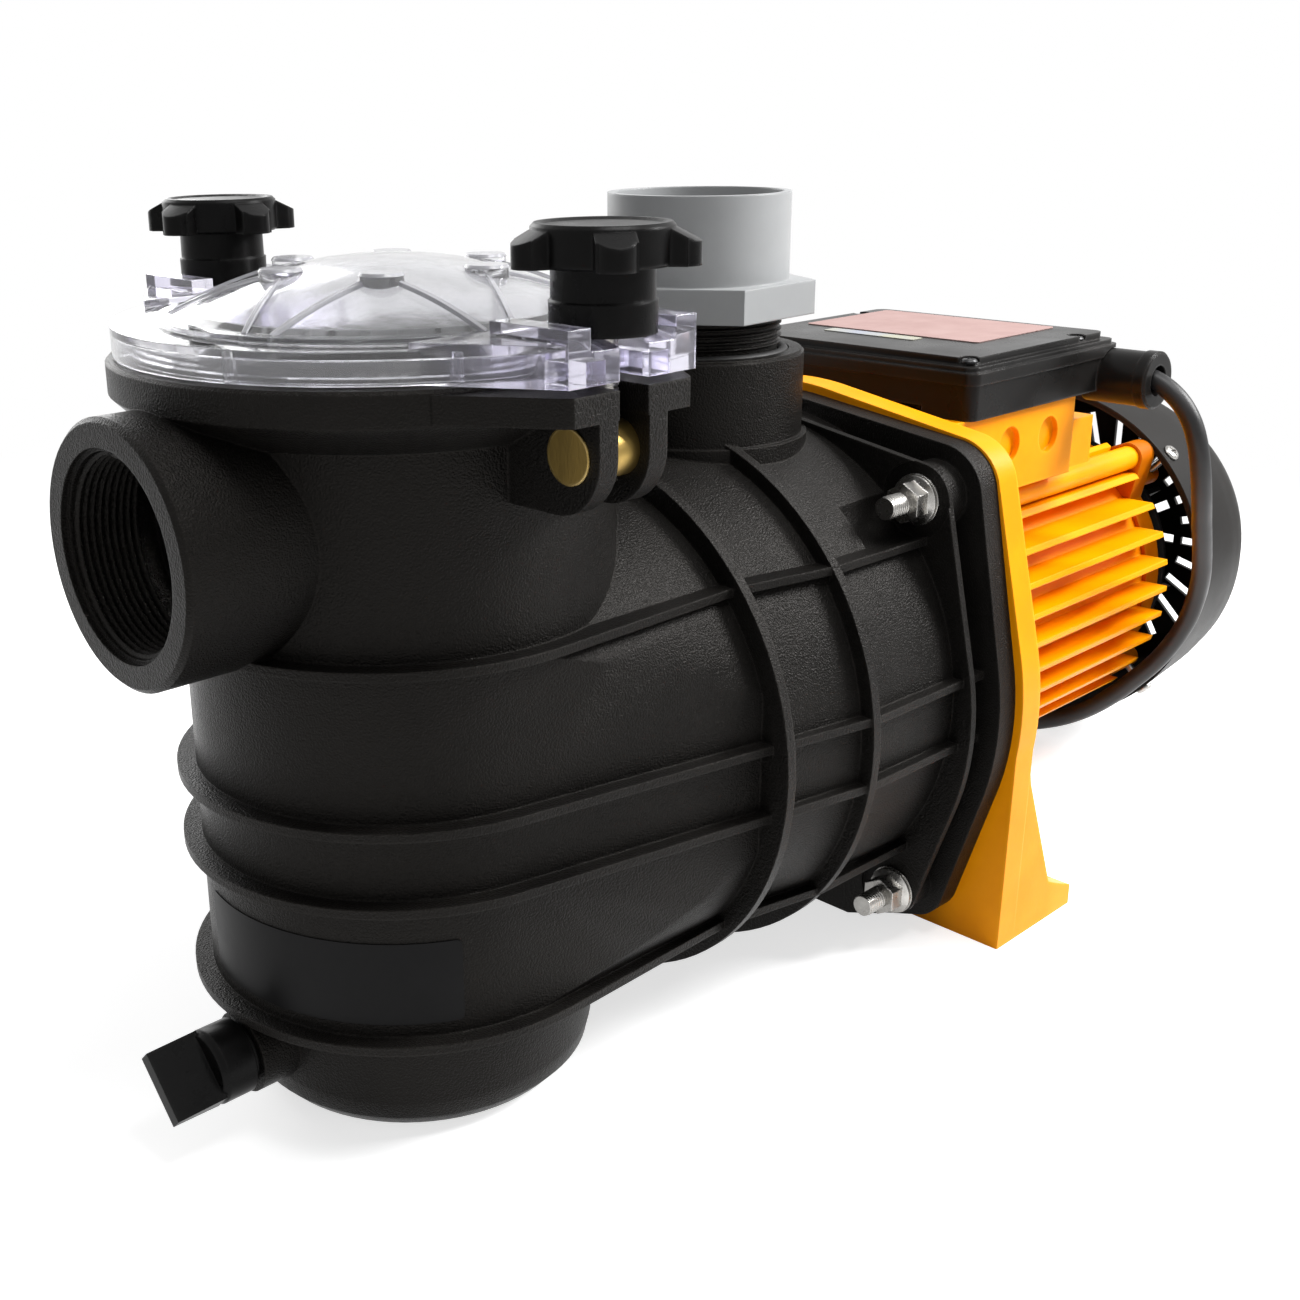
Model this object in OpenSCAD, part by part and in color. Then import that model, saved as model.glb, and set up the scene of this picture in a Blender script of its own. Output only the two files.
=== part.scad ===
// Self-priming pool pump with a strainer pot, swing-bolt lid and finned motor.
// The strainer axis is the Z axis, the floor is z = 0 and the shaft runs along +X.

/* [Layout] */
// Height of the motor shaft above the floor
shaft_z = 97; // [95:1:108]
// Height of the volute centre, above the shaft so that the discharge side is fuller
volute_z = 104; // [104:1:112]
// Distance from the strainer axis to the joint between casing and bracket
flange_x = 198.5; // [194:0.5:240]
// Distance from the strainer axis to the discharge port
port_x = 142.4; // [138:0.2:150]

/* [Strainer pot] */
// Outer radius of the pot
pot_r = 70; // [62:0.5:78]
// Wall of the pot
pot_wall = 5.5; // [4:0.5:7]
// Height of the pot's rim above the floor
rim_z = 247.5; // [240:0.5:290]
// Outer radius of the rim
rim_r = 85.8; // [84:0.1:96]
// Height of the moulded rib levels above and below the volute centre
rib_levels = [61, 11, -14, -61];
// Thickness of the moulded ribs
rib_t = 3; // [2:0.5:4]
// Height of the smaller cup under the lowest rib
cup_h = 43; // [36:1:50]
// Radius of the cup
cup_r = 61; // [54:1:66]

/* [Volute] */
// Radius of the barrel at its front ring
barrel_front_r = 90; // [84:0.5:94]
// Radius of the barrel at its rear
barrel_rear_r = 99; // [96:0.5:100]
// Distance of the front ring from the strainer axis
ring1_x = 80; // [76:1:90]
// Distance of the middle ring from the strainer axis
ring2_x = 123; // [118:1:130]
// Thickness of the rings
ring_t = 4; // [3:0.5:5]
// Wall of the volute
volute_wall = 7; // [5:0.5:9]

/* [Ports] */
// Radius of the two-inch pipe thread at its root
port_thread_r = 29.9; // [28:0.1:31]
// Length of the thread in each port
port_thread_len = 30; // [24:1:34]
// Outer radius of the port bosses
port_boss_r = 39.5; // [37:0.5:42]
// Height of the inlet axis above the floor
inlet_z = 198.8; // [194:0.2:203]
// Distance from the strainer axis to the face of the inlet
inlet_face = 99.6; // [94:0.2:130]
// Height of the discharge port's top
port_top_z = 230.8; // [226:0.2:240]
// Bore of the pipe socket on the discharge adaptor
socket_bore_r = 30.2; // [29.5:0.1:31.5]
// Wall of the pipe socket
socket_wall = 3; // [2.5:0.1:3.5]
// Length of the pipe socket above the hexagon
socket_len = 31; // [26:1:40]

/* [Flange and bolts] */
// Radius of the flange outline
flange_r = 111; // [110:0.5:113]
// Sideways distance of the flange bolts from the shaft
bolt_y = 77.6; // [76:0.1:80]
// Height of the upper flange bolts above the shaft
bolt_up = 82.6; // [80:0.1:86]
// Depth of the lower flange bolts below the shaft
bolt_down = 75; // [72:0.1:78]
// Radius of the flange bolts
bolt_r = 4; // [3:0.5:5]
// Thickness of the flange plates
flange_t = 10.5; // [9:0.5:13]
// Half the width of the foot
foot_half_w = 112; // [106:1:113]
// Length of the foot along the shaft
foot_len = 54; // [48:1:64]
// Thickness of the foot plate
foot_t = 8.5; // [6:0.5:10]
// Radius of the two holes in the foot
foot_hole_r = 4.5; // [3.5:0.5:5.5]
// Distance between the holes in the foot
foot_hole_span = 160; // [150:2:176]

/* [Lid clamps] */
// Distance of each clamp from the strainer axis
clamp_y = 93.4; // [91.5:0.1:96]
// Radius of the brass cross barrel
barrel_pin_r = 8; // [7:0.5:8.5]
// Radius of the swing bolt
swing_bolt_r = 4; // [3:0.5:4.5]
// Radius of the knob's stem
knob_stem_r = 14.6; // [13:0.1:15]
// Radius over the lobes of the knob
knob_lobe_r = 26; // [23:0.5:28]
// Radial running clearance of pins in their holes
running_gap = 0.05; // [0.02:0.01:0.09]

/* [Lid] */
// Radius of the lid
lid_r = 83.5; // [82:0.1:85]
// Height of the lid's outer ring
lid_ring_h = 9.1; // [8:0.1:11]
// Rise of the dome above the ring
dome_rise = 17.5; // [12:0.5:22]
// Wall of the dome
dome_wall = 3; // [2.5:0.1:4]

/* [Motor] */
// Inner radius of the motor frame
frame_bore_r = 57; // [54:0.5:60]
// Wall of the motor frame
frame_wall = 4.5; // [3.5:0.5:6]
// Radius over the tips of the cooling fins
fin_r = 74; // [71:0.5:78]
// Distance between fins
fin_pitch = 12.7; // [12:0.1:14]
// Length of the motor frame from the bracket
frame_len = 182; // [176:1:215]
// Radius of the shaft
shaft_r = 7.5; // [6:0.5:8.5]
// Length of the stator stack
stack_len = 65; // [55:1:80]
// Air gap between rotor and stator
air_gap = 0.6; // [0.4:0.1:1]

/* [Fan cover] */
// Radius of the fan cover at its open front
cover_front_r = 84; // [82:0.5:86]
// Length of the fan cover
cover_len = 74; // [68:1:86]
// Wall of the fan cover
cover_wall = 2.2; // [1.8:0.1:3]

/* [Terminal box] */
// Length of the box along the shaft
box_len = 113; // [100:1:125]
// Width of the box
box_w = 126; // [116:1:136]
// Height of the box base
box_base_h = 14; // [12:1:20]
// Height of the box lid
box_lid_h = 10; // [8:1:14]
// Radius of the cable
cable_r = 4.25; // [3.5:0.05:5]

/* [Hidden] */

$fn = 64;
far = 400;               // longer than any cut needs to be
skin = 0.3;              // space between pieces that must not rub
seat_gap = 0.03;         // radial clearance of pieces that sit in one another and stay there
floor_gap = 4;           // lowest point of the casing flange above the floor

black = "#232324";
grey_pvc = "#8d9391";
orange = "#f49a12";
steel = "#b9b9b6";
brass = "#b08a3c";
rubber = "#151515";
clear_violet = [0.82, 0.80, 0.90, 0.45];

// ---- helpers -------------------------------------------------------------

// Turns children that stand on Z so that they lie along +X at height z.
module along_x(z = shaft_z, x = 0, y = 0) {
    translate([x, y, z]) rotate([0, 90, 0]) children();
}

// Revolves an outline of [radius, x] points about an X axis at height z.
module x_turned(points, z = shaft_z) {
    along_x(z) rotate_extrude() polygon(points);
}

// A rod along +X from x1 to x2.
module x_rod(r, x1, x2, z = shaft_z, y = 0) {
    along_x(z, x1, y) cylinder(r = r, h = x2 - x1);
}

// A tube along +X from x1 to x2.
module x_tube(r_out, r_in, x1, x2, z = shaft_z) {
    x_turned([[r_in, x1], [r_out, x1], [r_out, x2], [r_in, x2]], z);
}

// Extrudes an outline drawn in (y, z) from x1 to x2, measured from height z.
module x_plate(x1, x2, z = shaft_z) {
    translate([x1, 0, z]) rotate([90, 0, 90]) linear_extrude(x2 - x1) children();
}

// A tube along +Z between two heights.
module z_tube(r_out, r_in, z1, z2) {
    translate([0, 0, z1]) difference() {
        cylinder(r = r_out, h = z2 - z1);
        translate([0, 0, -1]) cylinder(r = r_in, h = z2 - z1 + 2);
    }
}

// The strip between a circle at the origin and a smaller one at p, a hair inside their tangents.
module tangent_belt(big_r, small_r, p) {
    r1 = big_r - 0.03;
    r2 = small_r - 0.03;
    base = atan2(p.y, p.x);
    lean = acos((r1 - r2) / norm(p));
    up = [cos(base + lean), sin(base + lean)];
    down = [cos(base - lean), sin(base - lean)];
    polygon([r1 * up, p + r2 * up, p + r2 * down, r1 * down]);
}

// A rectangle with round corners, drawn exactly with circles and squares.
module round_rect(w, h, r) {
    square([w - 2 * r, h], center = true);
    square([w, h - 2 * r], center = true);
    for (sx = [-1, 1], sy = [-1, 1])
        translate([sx * (w / 2 - r), sy * (h / 2 - r)]) circle(r = r);
}

// Both sides of the strainer: the near side is -Y and the far side is +Y.
module on_side(side) {
    mirror([0, side == "far" ? 1 : 0, 0]) children();
}

// ---- strainer pot and volute ---------------------------------------------

pot_bore_r = pot_r - pot_wall;
rim_t = 13;                          // height of the rim band
tab_t = 8;                           // thickness of the clamp tabs under the rim
tab_z = rim_z - 1.3 - tab_t;         // underside of the clamp tabs
tab_half_w = 24;
tab_end = clamp_y + 11.6;            // outer end of the clamp tabs
lug_gap = 6;                         // half the gap between the two lugs of a clamp
lug_t = 7;                           // thickness of one lug
barrel_pin_z = tab_z - 10.2;         // height of the cross barrel
volute_wall_y = barrel_front_r - 2;  // half width of the pot's flanks at the front ring
ring1_r = barrel_front_r + 9.5;
ring2_r = 103;
rib_h = 6;                           // height of the ribs on the pot
barrel_rib_h = 4.5;                  // height of the ribs on the barrel
web_r = flange_r - 3.7;              // radius of the thin wall in front of the flange
nut_seat_x = flange_x - 22.5;
web_t = 3;
ear_r = 19;                          // radius of the flange's upper bolt ears
low_ear_r = 15;                      // radius of its lower bolt ears
volute_bore_r = 86;
volute_bore_x = 112;                 // front end of the impeller chamber
eye_r = 24;                          // radius of the suction eye in the partition
partition_x = 105;                   // front face of the partition with the eye
plate_recess_r = 89;                 // recess for the seal plate
plate_x = flange_x - 14;             // front face of the seal plate
drain_z = 26.6;
drain_face_x = -73;
drain_bore_r = 6.5;
gasket_t = 1.5;
lid_z = rim_z + 0.9;                 // underside of the lid

// Outline of the pot from above, with flanks that widen to the front ring.
module pot_plan(r, half_w, reach = ring1_x) {
    corner = [reach, half_w];
    touch = atan2(corner.y, corner.x) + acos(r / norm(corner));
    circle(r = r);
    polygon([
        [0, 0], r * [cos(touch), -sin(touch)], [reach, -half_w],
        [reach, half_w], r * [cos(touch), sin(touch)]
    ]);
}

// Everything outside the flanks that run from a pot of radius r to the front ring.
module flank_cuts(r, z1, z2) {
    corner = [ring1_x, volute_wall_y];
    touch = atan2(corner.y, corner.x) + acos(r / norm(corner));
    tangent = r * [cos(touch), sin(touch)];
    way = (corner - tangent) / norm(corner - tangent);
    start = tangent - 60 * way;
    end = corner + 20 * way;
    for (s = [0, 1]) mirror([0, s, 0]) translate([0, 0, z1]) linear_extrude(z2 - z1)
        polygon([start, end, [end.x, 200], [start.x, 200]]);
}

// Half width of a circle of radius r at height dz above its centre.
function chord(r, dz) = sqrt(r * r - dz * dz);

module pot_outside() {
    cylinder_top = rim_z - rim_t;
    rotate_extrude() polygon([
        [0, 0], [cup_r - 13, 0], [cup_r - 6, 2.5], [cup_r - 1.5, 7.5], [cup_r, 14], [cup_r, cup_h],
        [pot_r, cup_h], [pot_r, cylinder_top - 7], [rim_r - 3, cylinder_top], [rim_r, cylinder_top + 3],
        [rim_r, rim_z - 1], [rim_r - 1, rim_z], [0, rim_z]
    ]);
    difference() {
        x_rod(barrel_front_r + 2, -8, ring1_x, volute_z);
        flank_cuts(cup_r, -1, cup_h);
        flank_cuts(pot_r, cup_h, rim_z);
    }
}

module barrel_outside() {
    x_turned([
        [0, ring1_x - 1], [barrel_front_r + 1, ring1_x - 1], [barrel_front_r + 8, ring2_x],
        [barrel_rear_r, nut_seat_x - 10], [barrel_rear_r, flange_x - 2], [0, flange_x - 2]
    ], volute_z);
    x_tube(ring1_r, 60, ring1_x - 1, ring1_x - 1 + ring_t, volute_z);
    x_tube(ring2_r, 60, ring2_x - 2, ring2_x - 2 + ring_t, volute_z);
}

module level_ribs() {
    for (dz = rib_levels) {
        half_front = min(volute_wall_y, chord(barrel_front_r + 2, dz)) + rib_h - 1;
        half_mid = chord(barrel_front_r + 8 + barrel_rib_h, dz);
        half_rear = chord(barrel_rear_r + barrel_rib_h, dz);
        translate([0, 0, volute_z + dz - rib_t / 2]) linear_extrude(rib_t) {
            pot_plan(pot_r + rib_h, half_front);
            polygon([
                [ring1_x, -half_front], [ring2_x, -half_mid], [flange_x - 2, -half_rear],
                [flange_x - 2, half_rear], [ring2_x, half_mid], [ring1_x, half_front]
            ]);
        }
    }
}

// Places of the four flange bolts in (y, z) about the shaft.
flange_bolts = [[bolt_y, bolt_up], [-bolt_y, bolt_up], [bolt_y, -bolt_down], [-bolt_y, -bolt_down]];

// Outline of the flange in (y, z) about the shaft: a disc with four bolt ears.
module flange_outline(r, ear, low_ear) {
    circle(r = r);
    for (place = flange_bolts) {
        this_ear = place.y > 0 ? ear : low_ear;
        translate(place) circle(r = this_ear);
        tangent_belt(r, this_ear, place);
    }
}

module casing_flange() {
    intersection() {
        union() {
            x_plate(flange_x - flange_t, flange_x) flange_outline(flange_r, ear_r, low_ear_r);
            x_plate(nut_seat_x - 1, nut_seat_x - 1 + web_t) flange_outline(web_r, ear_r - 5.5, low_ear_r - 5);
            for (place = flange_bolts)
                x_rod(place.y > 0 ? ear_r - 6.2 : low_ear_r - 5.7, nut_seat_x, flange_x - 1, shaft_z + place.y, place.x);
        }
        translate([-far, -far, floor_gap]) cube(2 * far);
    }
}

// The moulded wall that carries one clamp: a tab under the rim and two lugs.
module clamp_lugs(side) {
    lug_r = tab_end - clamp_y + 5.4;
    on_side(side) {
        translate([0, 0, tab_z]) linear_extrude(tab_t) polygon([
            [-44, -74], [-tab_half_w, -tab_end + 2], [-tab_half_w + 2, -tab_end],
            [tab_half_w - 2, -tab_end], [tab_half_w, -tab_end + 2], [44, -74]
        ]);
        for (s = [-1, 1])
            x_plate(s > 0 ? lug_gap : -lug_gap - lug_t, s > 0 ? lug_gap + lug_t : -lug_gap, barrel_pin_z) {
                translate([-tab_end + lug_r, 0]) circle(r = lug_r);
                translate([-tab_end, 0]) square([lug_r, tab_z - barrel_pin_z + 1]);
                translate([-tab_end + lug_r, -lug_r]) square([lug_r + 6, tab_z - barrel_pin_z + lug_r + 1]);
            }
    }
}

module clamp_cuts(side) {
    on_side(side) {
        translate([-lug_gap + 0.5, -tab_end - 5, 0]) cube([2 * lug_gap - 1, tab_end - rim_r + 2, far]);
        translate([-lug_gap, -tab_end - 5, tab_z - 30]) cube([2 * lug_gap, tab_end - pot_r + 1, 29.9]);
        x_rod(barrel_pin_r + running_gap, -30, 30, barrel_pin_z, -clamp_y);
    }
}

module ports_outside() {
    x_turned([
        [0, -inlet_face], [port_boss_r - 1.5, -inlet_face], [port_boss_r, 1.5 - inlet_face],
        [port_boss_r, 0], [0, 0]
    ], inlet_z);
    translate([port_x, 0, volute_z]) cylinder(r = port_boss_r, h = port_top_z - volute_z - 1);
    translate([port_x, 0, volute_z]) cylinder(r = port_boss_r - 1, h = port_top_z - volute_z);
    translate([port_x, 0, volute_z]) cylinder(r = port_boss_r + 2, h = 96);
}

module pump_cavities() {
    // Strainer chamber, open at the top.
    translate([0, 0, pot_wall + 1]) cylinder(r = cup_r - pot_wall, h = cup_h);
    translate([0, 0, cup_h]) cylinder(r = pot_bore_r, h = far);
    // Suction chamber between the strainer and the partition.
    intersection() {
        x_rod(barrel_front_r - volute_wall, 0, partition_x, volute_z);
        translate([0, 0, cup_h]) linear_extrude(volute_z + rib_levels[0] - cup_h)
            pot_plan(pot_bore_r, volute_wall_y - volute_wall, partition_x);
    }
    // Suction eye, impeller chamber and recess for the seal plate.
    x_rod(eye_r, partition_x - 1, volute_bore_x + 1);
    x_rod(volute_bore_r, volute_bore_x, flange_x + 1);
    x_rod(plate_recess_r, plate_x, flange_x + 1);
    // Inlet: counterbore, thread and waterway.
    x_rod(port_thread_r + 1.2, -inlet_face - 1, 2 - inlet_face, inlet_z);
    x_rod(port_thread_r, -inlet_face, port_thread_len - inlet_face, inlet_z);
    x_rod(port_thread_r - 3, -inlet_face, 0, inlet_z);
    // Discharge: seal recess, thread and waterway.
    translate([port_x, 0, shaft_z]) cylinder(r = port_thread_r - 3, h = far);
    translate([port_x, 0, port_top_z - port_thread_len]) cylinder(r = port_thread_r, h = far);
    translate([port_x, 0, port_top_z - 3]) cylinder(r = port_thread_r + 4, h = far);
    // Drain.
    x_rod(drain_bore_r, drain_face_x - 1, 0, drain_z);
}

nut_pocket_r = 14;

module flange_cuts() {
    for (place = flange_bolts) {
        x_rod(bolt_r + 0.5, nut_seat_x - 2, flange_x + 1, shaft_z + place.y, place.x);
        x_rod(nut_pocket_r, nut_seat_x - 28, nut_seat_x, shaft_z + place.y, place.x);
    }
}

module pump_body() {
    color(black) difference() {
        union() {
            pot_outside();
            barrel_outside();
            level_ribs();
            casing_flange();
            ports_outside();
            clamp_lugs("near");
            clamp_lugs("far");
            x_rod(13.5, drain_face_x, -cup_r + 10, drain_z);
        }
        pump_cavities();
        flange_cuts();
        clamp_cuts("near");
        clamp_cuts("far");
        // Seat of the lid gasket.
        translate([0, 0, rim_z - 0.6]) cylinder(r = lid_r - 5, h = 5);
    }
}

// ---- strainer ------------------------------------------------------------

basket_r = pot_bore_r - 5.5;
basket_top = rim_z - 20;
basket_foot = cup_h;

module strainer_basket() {
    slots = 16;
    rows = 4;
    row_h = (inlet_z - port_thread_r - basket_foot - 8) / rows;
    color("#d9d9d4") difference() {
        union() {
            rotate_extrude() polygon([
                [0, basket_foot], [basket_r - 1, basket_foot], [basket_r, basket_top - 3],
                [basket_r + 4, basket_top - 3], [basket_r + 4, basket_top], [basket_r - 2, basket_top],
                [basket_r - 3, basket_foot + 2], [0, basket_foot + 2]
            ]);
            translate([0, 0, basket_top - 3]) difference() {
                cube([2 * basket_r - 2, 8, 6], center = true);
                cube([2 * basket_r - 30, 4, 8], center = true);
            }
        }
        for (row = [0 : rows - 1], i = [0 : slots - 1])
            rotate([0, 0, i * 360 / slots])
                translate([basket_r - 10, -3, basket_foot + 8 + row * row_h]) cube([20, 6, row_h - 5]);
        x_rod(port_thread_r - 1, -basket_r - 10, -basket_r + 20, inlet_z);
        for (i = [0 : 7]) rotate([0, 0, i * 45]) translate([14, -3, basket_foot - 1]) cube([28, 6, 4]);
    }
}

module lid_gasket() {
    color(rubber) z_tube(lid_r - 6, pot_bore_r + 3, rim_z - 0.6, lid_z);
}

dome_base_r = 68;
dome_base_z = lid_z + lid_ring_h;
dome_sphere_r = (dome_base_r * dome_base_r + dome_rise * dome_rise) / (2 * dome_rise);
dome_centre_z = dome_base_z + dome_rise - dome_sphere_r;
ear_floor_z = lid_z + 11.1;          // where the knob bears on the lid
ear_wall_z = lid_z + 15.1;           // top of the walls beside the knob
ear_wall_x = knob_stem_r + 1.4;      // inner face of those walls
swing_floor_r = ear_floor_z - barrel_pin_z;
pad_z = dome_centre_z + sqrt(dome_sphere_r * dome_sphere_r - 30 * 30);

// One ear of the lid, slotted for the swing bolt.
module lid_ear(side) {
    on_side(side) difference() {
        union() {
            translate([0, 0, lid_z]) linear_extrude(ear_floor_z - lid_z) polygon([
                [-46, -68], [-tab_half_w, -tab_end + 1], [-tab_half_w + 1, -tab_end],
                [tab_half_w - 1, -tab_end], [tab_half_w, -tab_end + 1], [46, -68]
            ]);
            for (s = [-1, 1])
                translate([s > 0 ? ear_wall_x : -tab_half_w, -tab_end, lid_z])
                    cube([tab_half_w - ear_wall_x, 30, ear_wall_z - lid_z]);
        }
        translate([-lug_gap + 0.5, -tab_end - 5, 0]) cube([2 * lug_gap - 1, tab_end - rim_r + 3, far]);
        // The floor falls away outwards along the arc that the knob swings through.
        intersection() {
            difference() {
                translate([-ear_wall_x, -tab_end - 5, lid_z + 3]) cube([2 * ear_wall_x, tab_end - clamp_y + 5, 20]);
                x_rod(swing_floor_r, -30, 30, barrel_pin_z, -clamp_y);
            }
        }
        // Hollow moulding pockets under the ear.
        for (s = [-1, 1])
            translate([s * 12 - 3.5, -tab_end + 4, lid_z - 1]) cube([7, 12, 7]);
    }
}

module strainer_lid() {
    color(clear_violet) difference() {
        union() {
            intersection() {
                rotate_extrude() polygon([
                    [0, lid_z], [lid_r, lid_z], [lid_r, dome_base_z], [dome_base_r + 2, dome_base_z],
                    [dome_base_r + 2, dome_base_z + 1.5], [dome_base_r, dome_base_z + 1.5],
                    [dome_base_r, dome_base_z + 40], [0, dome_base_z + 40]
                ]);
                union() {
                    translate([0, 0, dome_centre_z]) sphere(r = dome_sphere_r);
                    z_tube(lid_r + 1, dome_base_r - 4, lid_z - 1, dome_base_z + 1.5);
                }
            }
            lid_ear("near");
            lid_ear("far");
            z_tube(pot_bore_r - 1.5, pot_bore_r - 5, lid_z - 10, lid_z + 1);
            for (i = [0 : 5]) rotate([0, 0, 50 + 60 * i]) translate([35, 0, pad_z - 3])
                cylinder(r = 6.5, h = 3.4);
        }
        // Underside of the dome.
        intersection() {
            translate([0, 0, dome_centre_z]) sphere(r = dome_sphere_r - dome_wall);
            translate([0, 0, lid_z - 20]) cylinder(r = pot_bore_r - 5, h = 80);
        }
        translate([0, 0, lid_z - 20]) cylinder(r = pot_bore_r - 5, h = 22);
        // Hollow under the outer ring.
        rotate_extrude() translate([lid_r - 4.5, lid_z - 1]) square([3, lid_ring_h - 1.5]);
    }
}

// ---- swing clamps --------------------------------------------------------

knob_z = ear_floor_z + skin;         // underside of the knob
knob_stem_h = 17.5;
knob_head_h = 11.1;
knob_top = knob_z + knob_stem_h + knob_head_h;
insert_r = 7;
washer_r = 12.8;
washer_t = 1;

module clamp_barrel(side) {
    color(brass) on_side(side) difference() {
        x_rod(barrel_pin_r, -lug_gap - lug_t - 0.6, lug_gap + lug_t + 0.6, barrel_pin_z, -clamp_y);
        translate([0, -clamp_y, barrel_pin_z - 20]) cylinder(r = swing_bolt_r + seat_gap, h = 40);
    }
}

module swing_bolt(side) {
    color(steel) on_side(side) translate([0, -clamp_y, barrel_pin_z - barrel_pin_r - 0.5])
        cylinder(r = swing_bolt_r, h = knob_top - 4 - barrel_pin_z + barrel_pin_r);
}

module knob_washer(side) {
    color(steel) on_side(side) translate([0, -clamp_y, 0])
        z_tube(washer_r, swing_bolt_r + running_gap, knob_z, knob_z + washer_t);
}

module knob(side) {
    head_z = knob_z + knob_stem_h;
    hub_r = 19.2;
    color(black) on_side(side) translate([0, -clamp_y, 0]) difference() {
        union() {
            rotate_extrude() polygon([
                [0, knob_z], [knob_stem_r, knob_z], [knob_stem_r + 0.1, knob_z + 8.6],
                [knob_stem_r - 0.5, knob_z + 8.8], [knob_stem_r - 0.6, head_z],
                [hub_r - 0.6, head_z], [hub_r, head_z + 0.6], [hub_r, knob_top - 1],
                [hub_r - 1, knob_top], [hub_r - 2.5, knob_top], [hub_r - 3.5, knob_top - 0.6], [0, knob_top - 0.6]
            ]);
            for (i = [0 : 4]) rotate([0, 0, 72 * i + 18]) {
                translate([0, 0, head_z]) intersection() {
                    union() {
                        translate([0, -5.5, 0]) cube([knob_lobe_r - 3, 11, knob_head_h]);
                        translate([knob_lobe_r - 5.5, 0, 0]) cylinder(r = 5.5, h = knob_head_h);
                    }
                    rotate_extrude() polygon([
                        [0, 0], [knob_lobe_r, 0], [knob_lobe_r, knob_head_h - 5], [hub_r, knob_head_h - 1.5], [0, knob_head_h - 1.5]
                    ]);
                }
            }
        }
        translate([0, 0, knob_z - 1]) cylinder(r = washer_r + skin, h = washer_t + 1 + skin);
        translate([0, 0, knob_z]) cylinder(r = insert_r + seat_gap, h = 21);
        translate([0, 0, knob_z]) cylinder(r = swing_bolt_r + running_gap, h = knob_top - knob_z - 3);
    }
}

module knob_insert(side) {
    base = knob_z + washer_t + skin;
    color(brass) on_side(side) translate([0, -clamp_y, 0])
        z_tube(insert_r, swing_bolt_r + running_gap, base, knob_z + 21);
}

// ---- drain ---------------------------------------------------------------

module drain_seal() {
    color(rubber) x_tube(10, drain_bore_r + 0.2, drain_face_x - 2, drain_face_x, drain_z);
}

module drain_plug() {
    head_x = drain_face_x - 2;
    color(black) {
        x_rod(drain_bore_r - skin, head_x - 1, drain_face_x + 16, drain_z);
        x_turned([[0, head_x - 12], [11, head_x - 12], [12.5, head_x - 10], [12.5, head_x], [0, head_x]], drain_z);
        translate([head_x - 28, 0, drain_z]) rotate([45, 0, 0]) rotate([90, 0, 0]) translate([0, 0, -11.8])
            linear_extrude(23.6) polygon([[0, -2.6], [0, 2.6], [17, 4.6], [17, -4.6]]);
    }
}

// ---- discharge adaptor ---------------------------------------------------

hex_z = 243.5 + port_top_z - 230.8;
hex_h = 12.1;
hex_r = 42.8;
nipple_r = port_thread_r - skin;

module outlet_nipple() {
    turns = 3;
    color(black) translate([port_x, 0, 0]) {
        z_tube(nipple_r, port_thread_r - 5, port_top_z - port_thread_len + 4, hex_z);
        for (i = [0 : turns]) translate([0, 0, port_top_z + 1.5 + 2.31 * i]) rotate_extrude()
            polygon([[nipple_r - 1, 0], [nipple_r + 1.3, 0.9], [nipple_r + 1.3, 1.3], [nipple_r - 1, 2.2]]);
    }
}

module outlet_seal() {
    color(rubber) translate([port_x, 0, port_top_z - 1]) rotate_extrude() translate([port_thread_r + 1.9, 0]) circle(r = 1.9);
}

module outlet_adaptor() {
    top = hex_z + hex_h + socket_len;
    color(grey_pvc) translate([port_x, 0, 0]) difference() {
        union() {
            translate([0, 0, hex_z]) rotate([0, 0, -56.35]) cylinder(r = hex_r, h = hex_h, $fn = 6);
            translate([0, 0, hex_z]) cylinder(r = socket_bore_r + socket_wall, h = top - hex_z);
        }
        translate([0, 0, hex_z - 1]) cylinder(r = port_thread_r - 5, h = 20);
        translate([0, 0, hex_z + 6]) cylinder(r = socket_bore_r, h = far);
    }
}

// ---- wet end internals ---------------------------------------------------

impeller_x = flange_x - 48;
impeller_r = 62;

module diffuser() {
    front = impeller_x - 14;
    color("#3a3b3d") difference() {
        x_turned([
            [eye_r + 0.5, front], [74, front], [74, plate_x - 1], [71, plate_x - 1], [71, front + 3], [eye_r + 0.5, front + 3]
        ]);
        for (i = [0 : 7]) translate([0, 0, shaft_z]) rotate([45 * i + 22.5, 0, 0])
            translate([front + 12, -6, 60]) cube([22, 12, 20]);
    }
    color("#3a3b3d") x_tube(eye_r + 3, eye_r + 0.5, volute_bore_x, front + 1);
}

module impeller() {
    color("#c9c2a8") {
        x_tube(impeller_r, shaft_r + seat_gap, impeller_x + 14, impeller_x + 17);
        x_tube(13, shaft_r + seat_gap, impeller_x - 6, impeller_x + 17);
        x_turned([[17, impeller_x - 8], [20, impeller_x - 8], [20, impeller_x + 0.5], [impeller_r, impeller_x + 4], [impeller_r, impeller_x + 6.5], [17, impeller_x + 3]]);
        for (i = [0 : 5]) translate([0, 0, shaft_z]) rotate([60 * i, 0, 0])
            translate([impeller_x + 2, -1.5, 15]) rotate([-22, 0, 0]) cube([13, 3, 42]);
    }
}

module seal_plate() {
    color("#2d2e30") difference() {
        union() {
            x_rod(plate_recess_r - skin, plate_x, plate_x + 8);
            x_rod(20, plate_x - 4, flange_x);
        }
        x_rod(13 + seat_gap, plate_x - 5, plate_x + 4);
        x_rod(shaft_r + 3, plate_x, flange_x + 1);
        x_tube(plate_recess_r, plate_recess_r - 4, plate_x + 2.5, plate_x + 5.5);
    }
}

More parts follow.
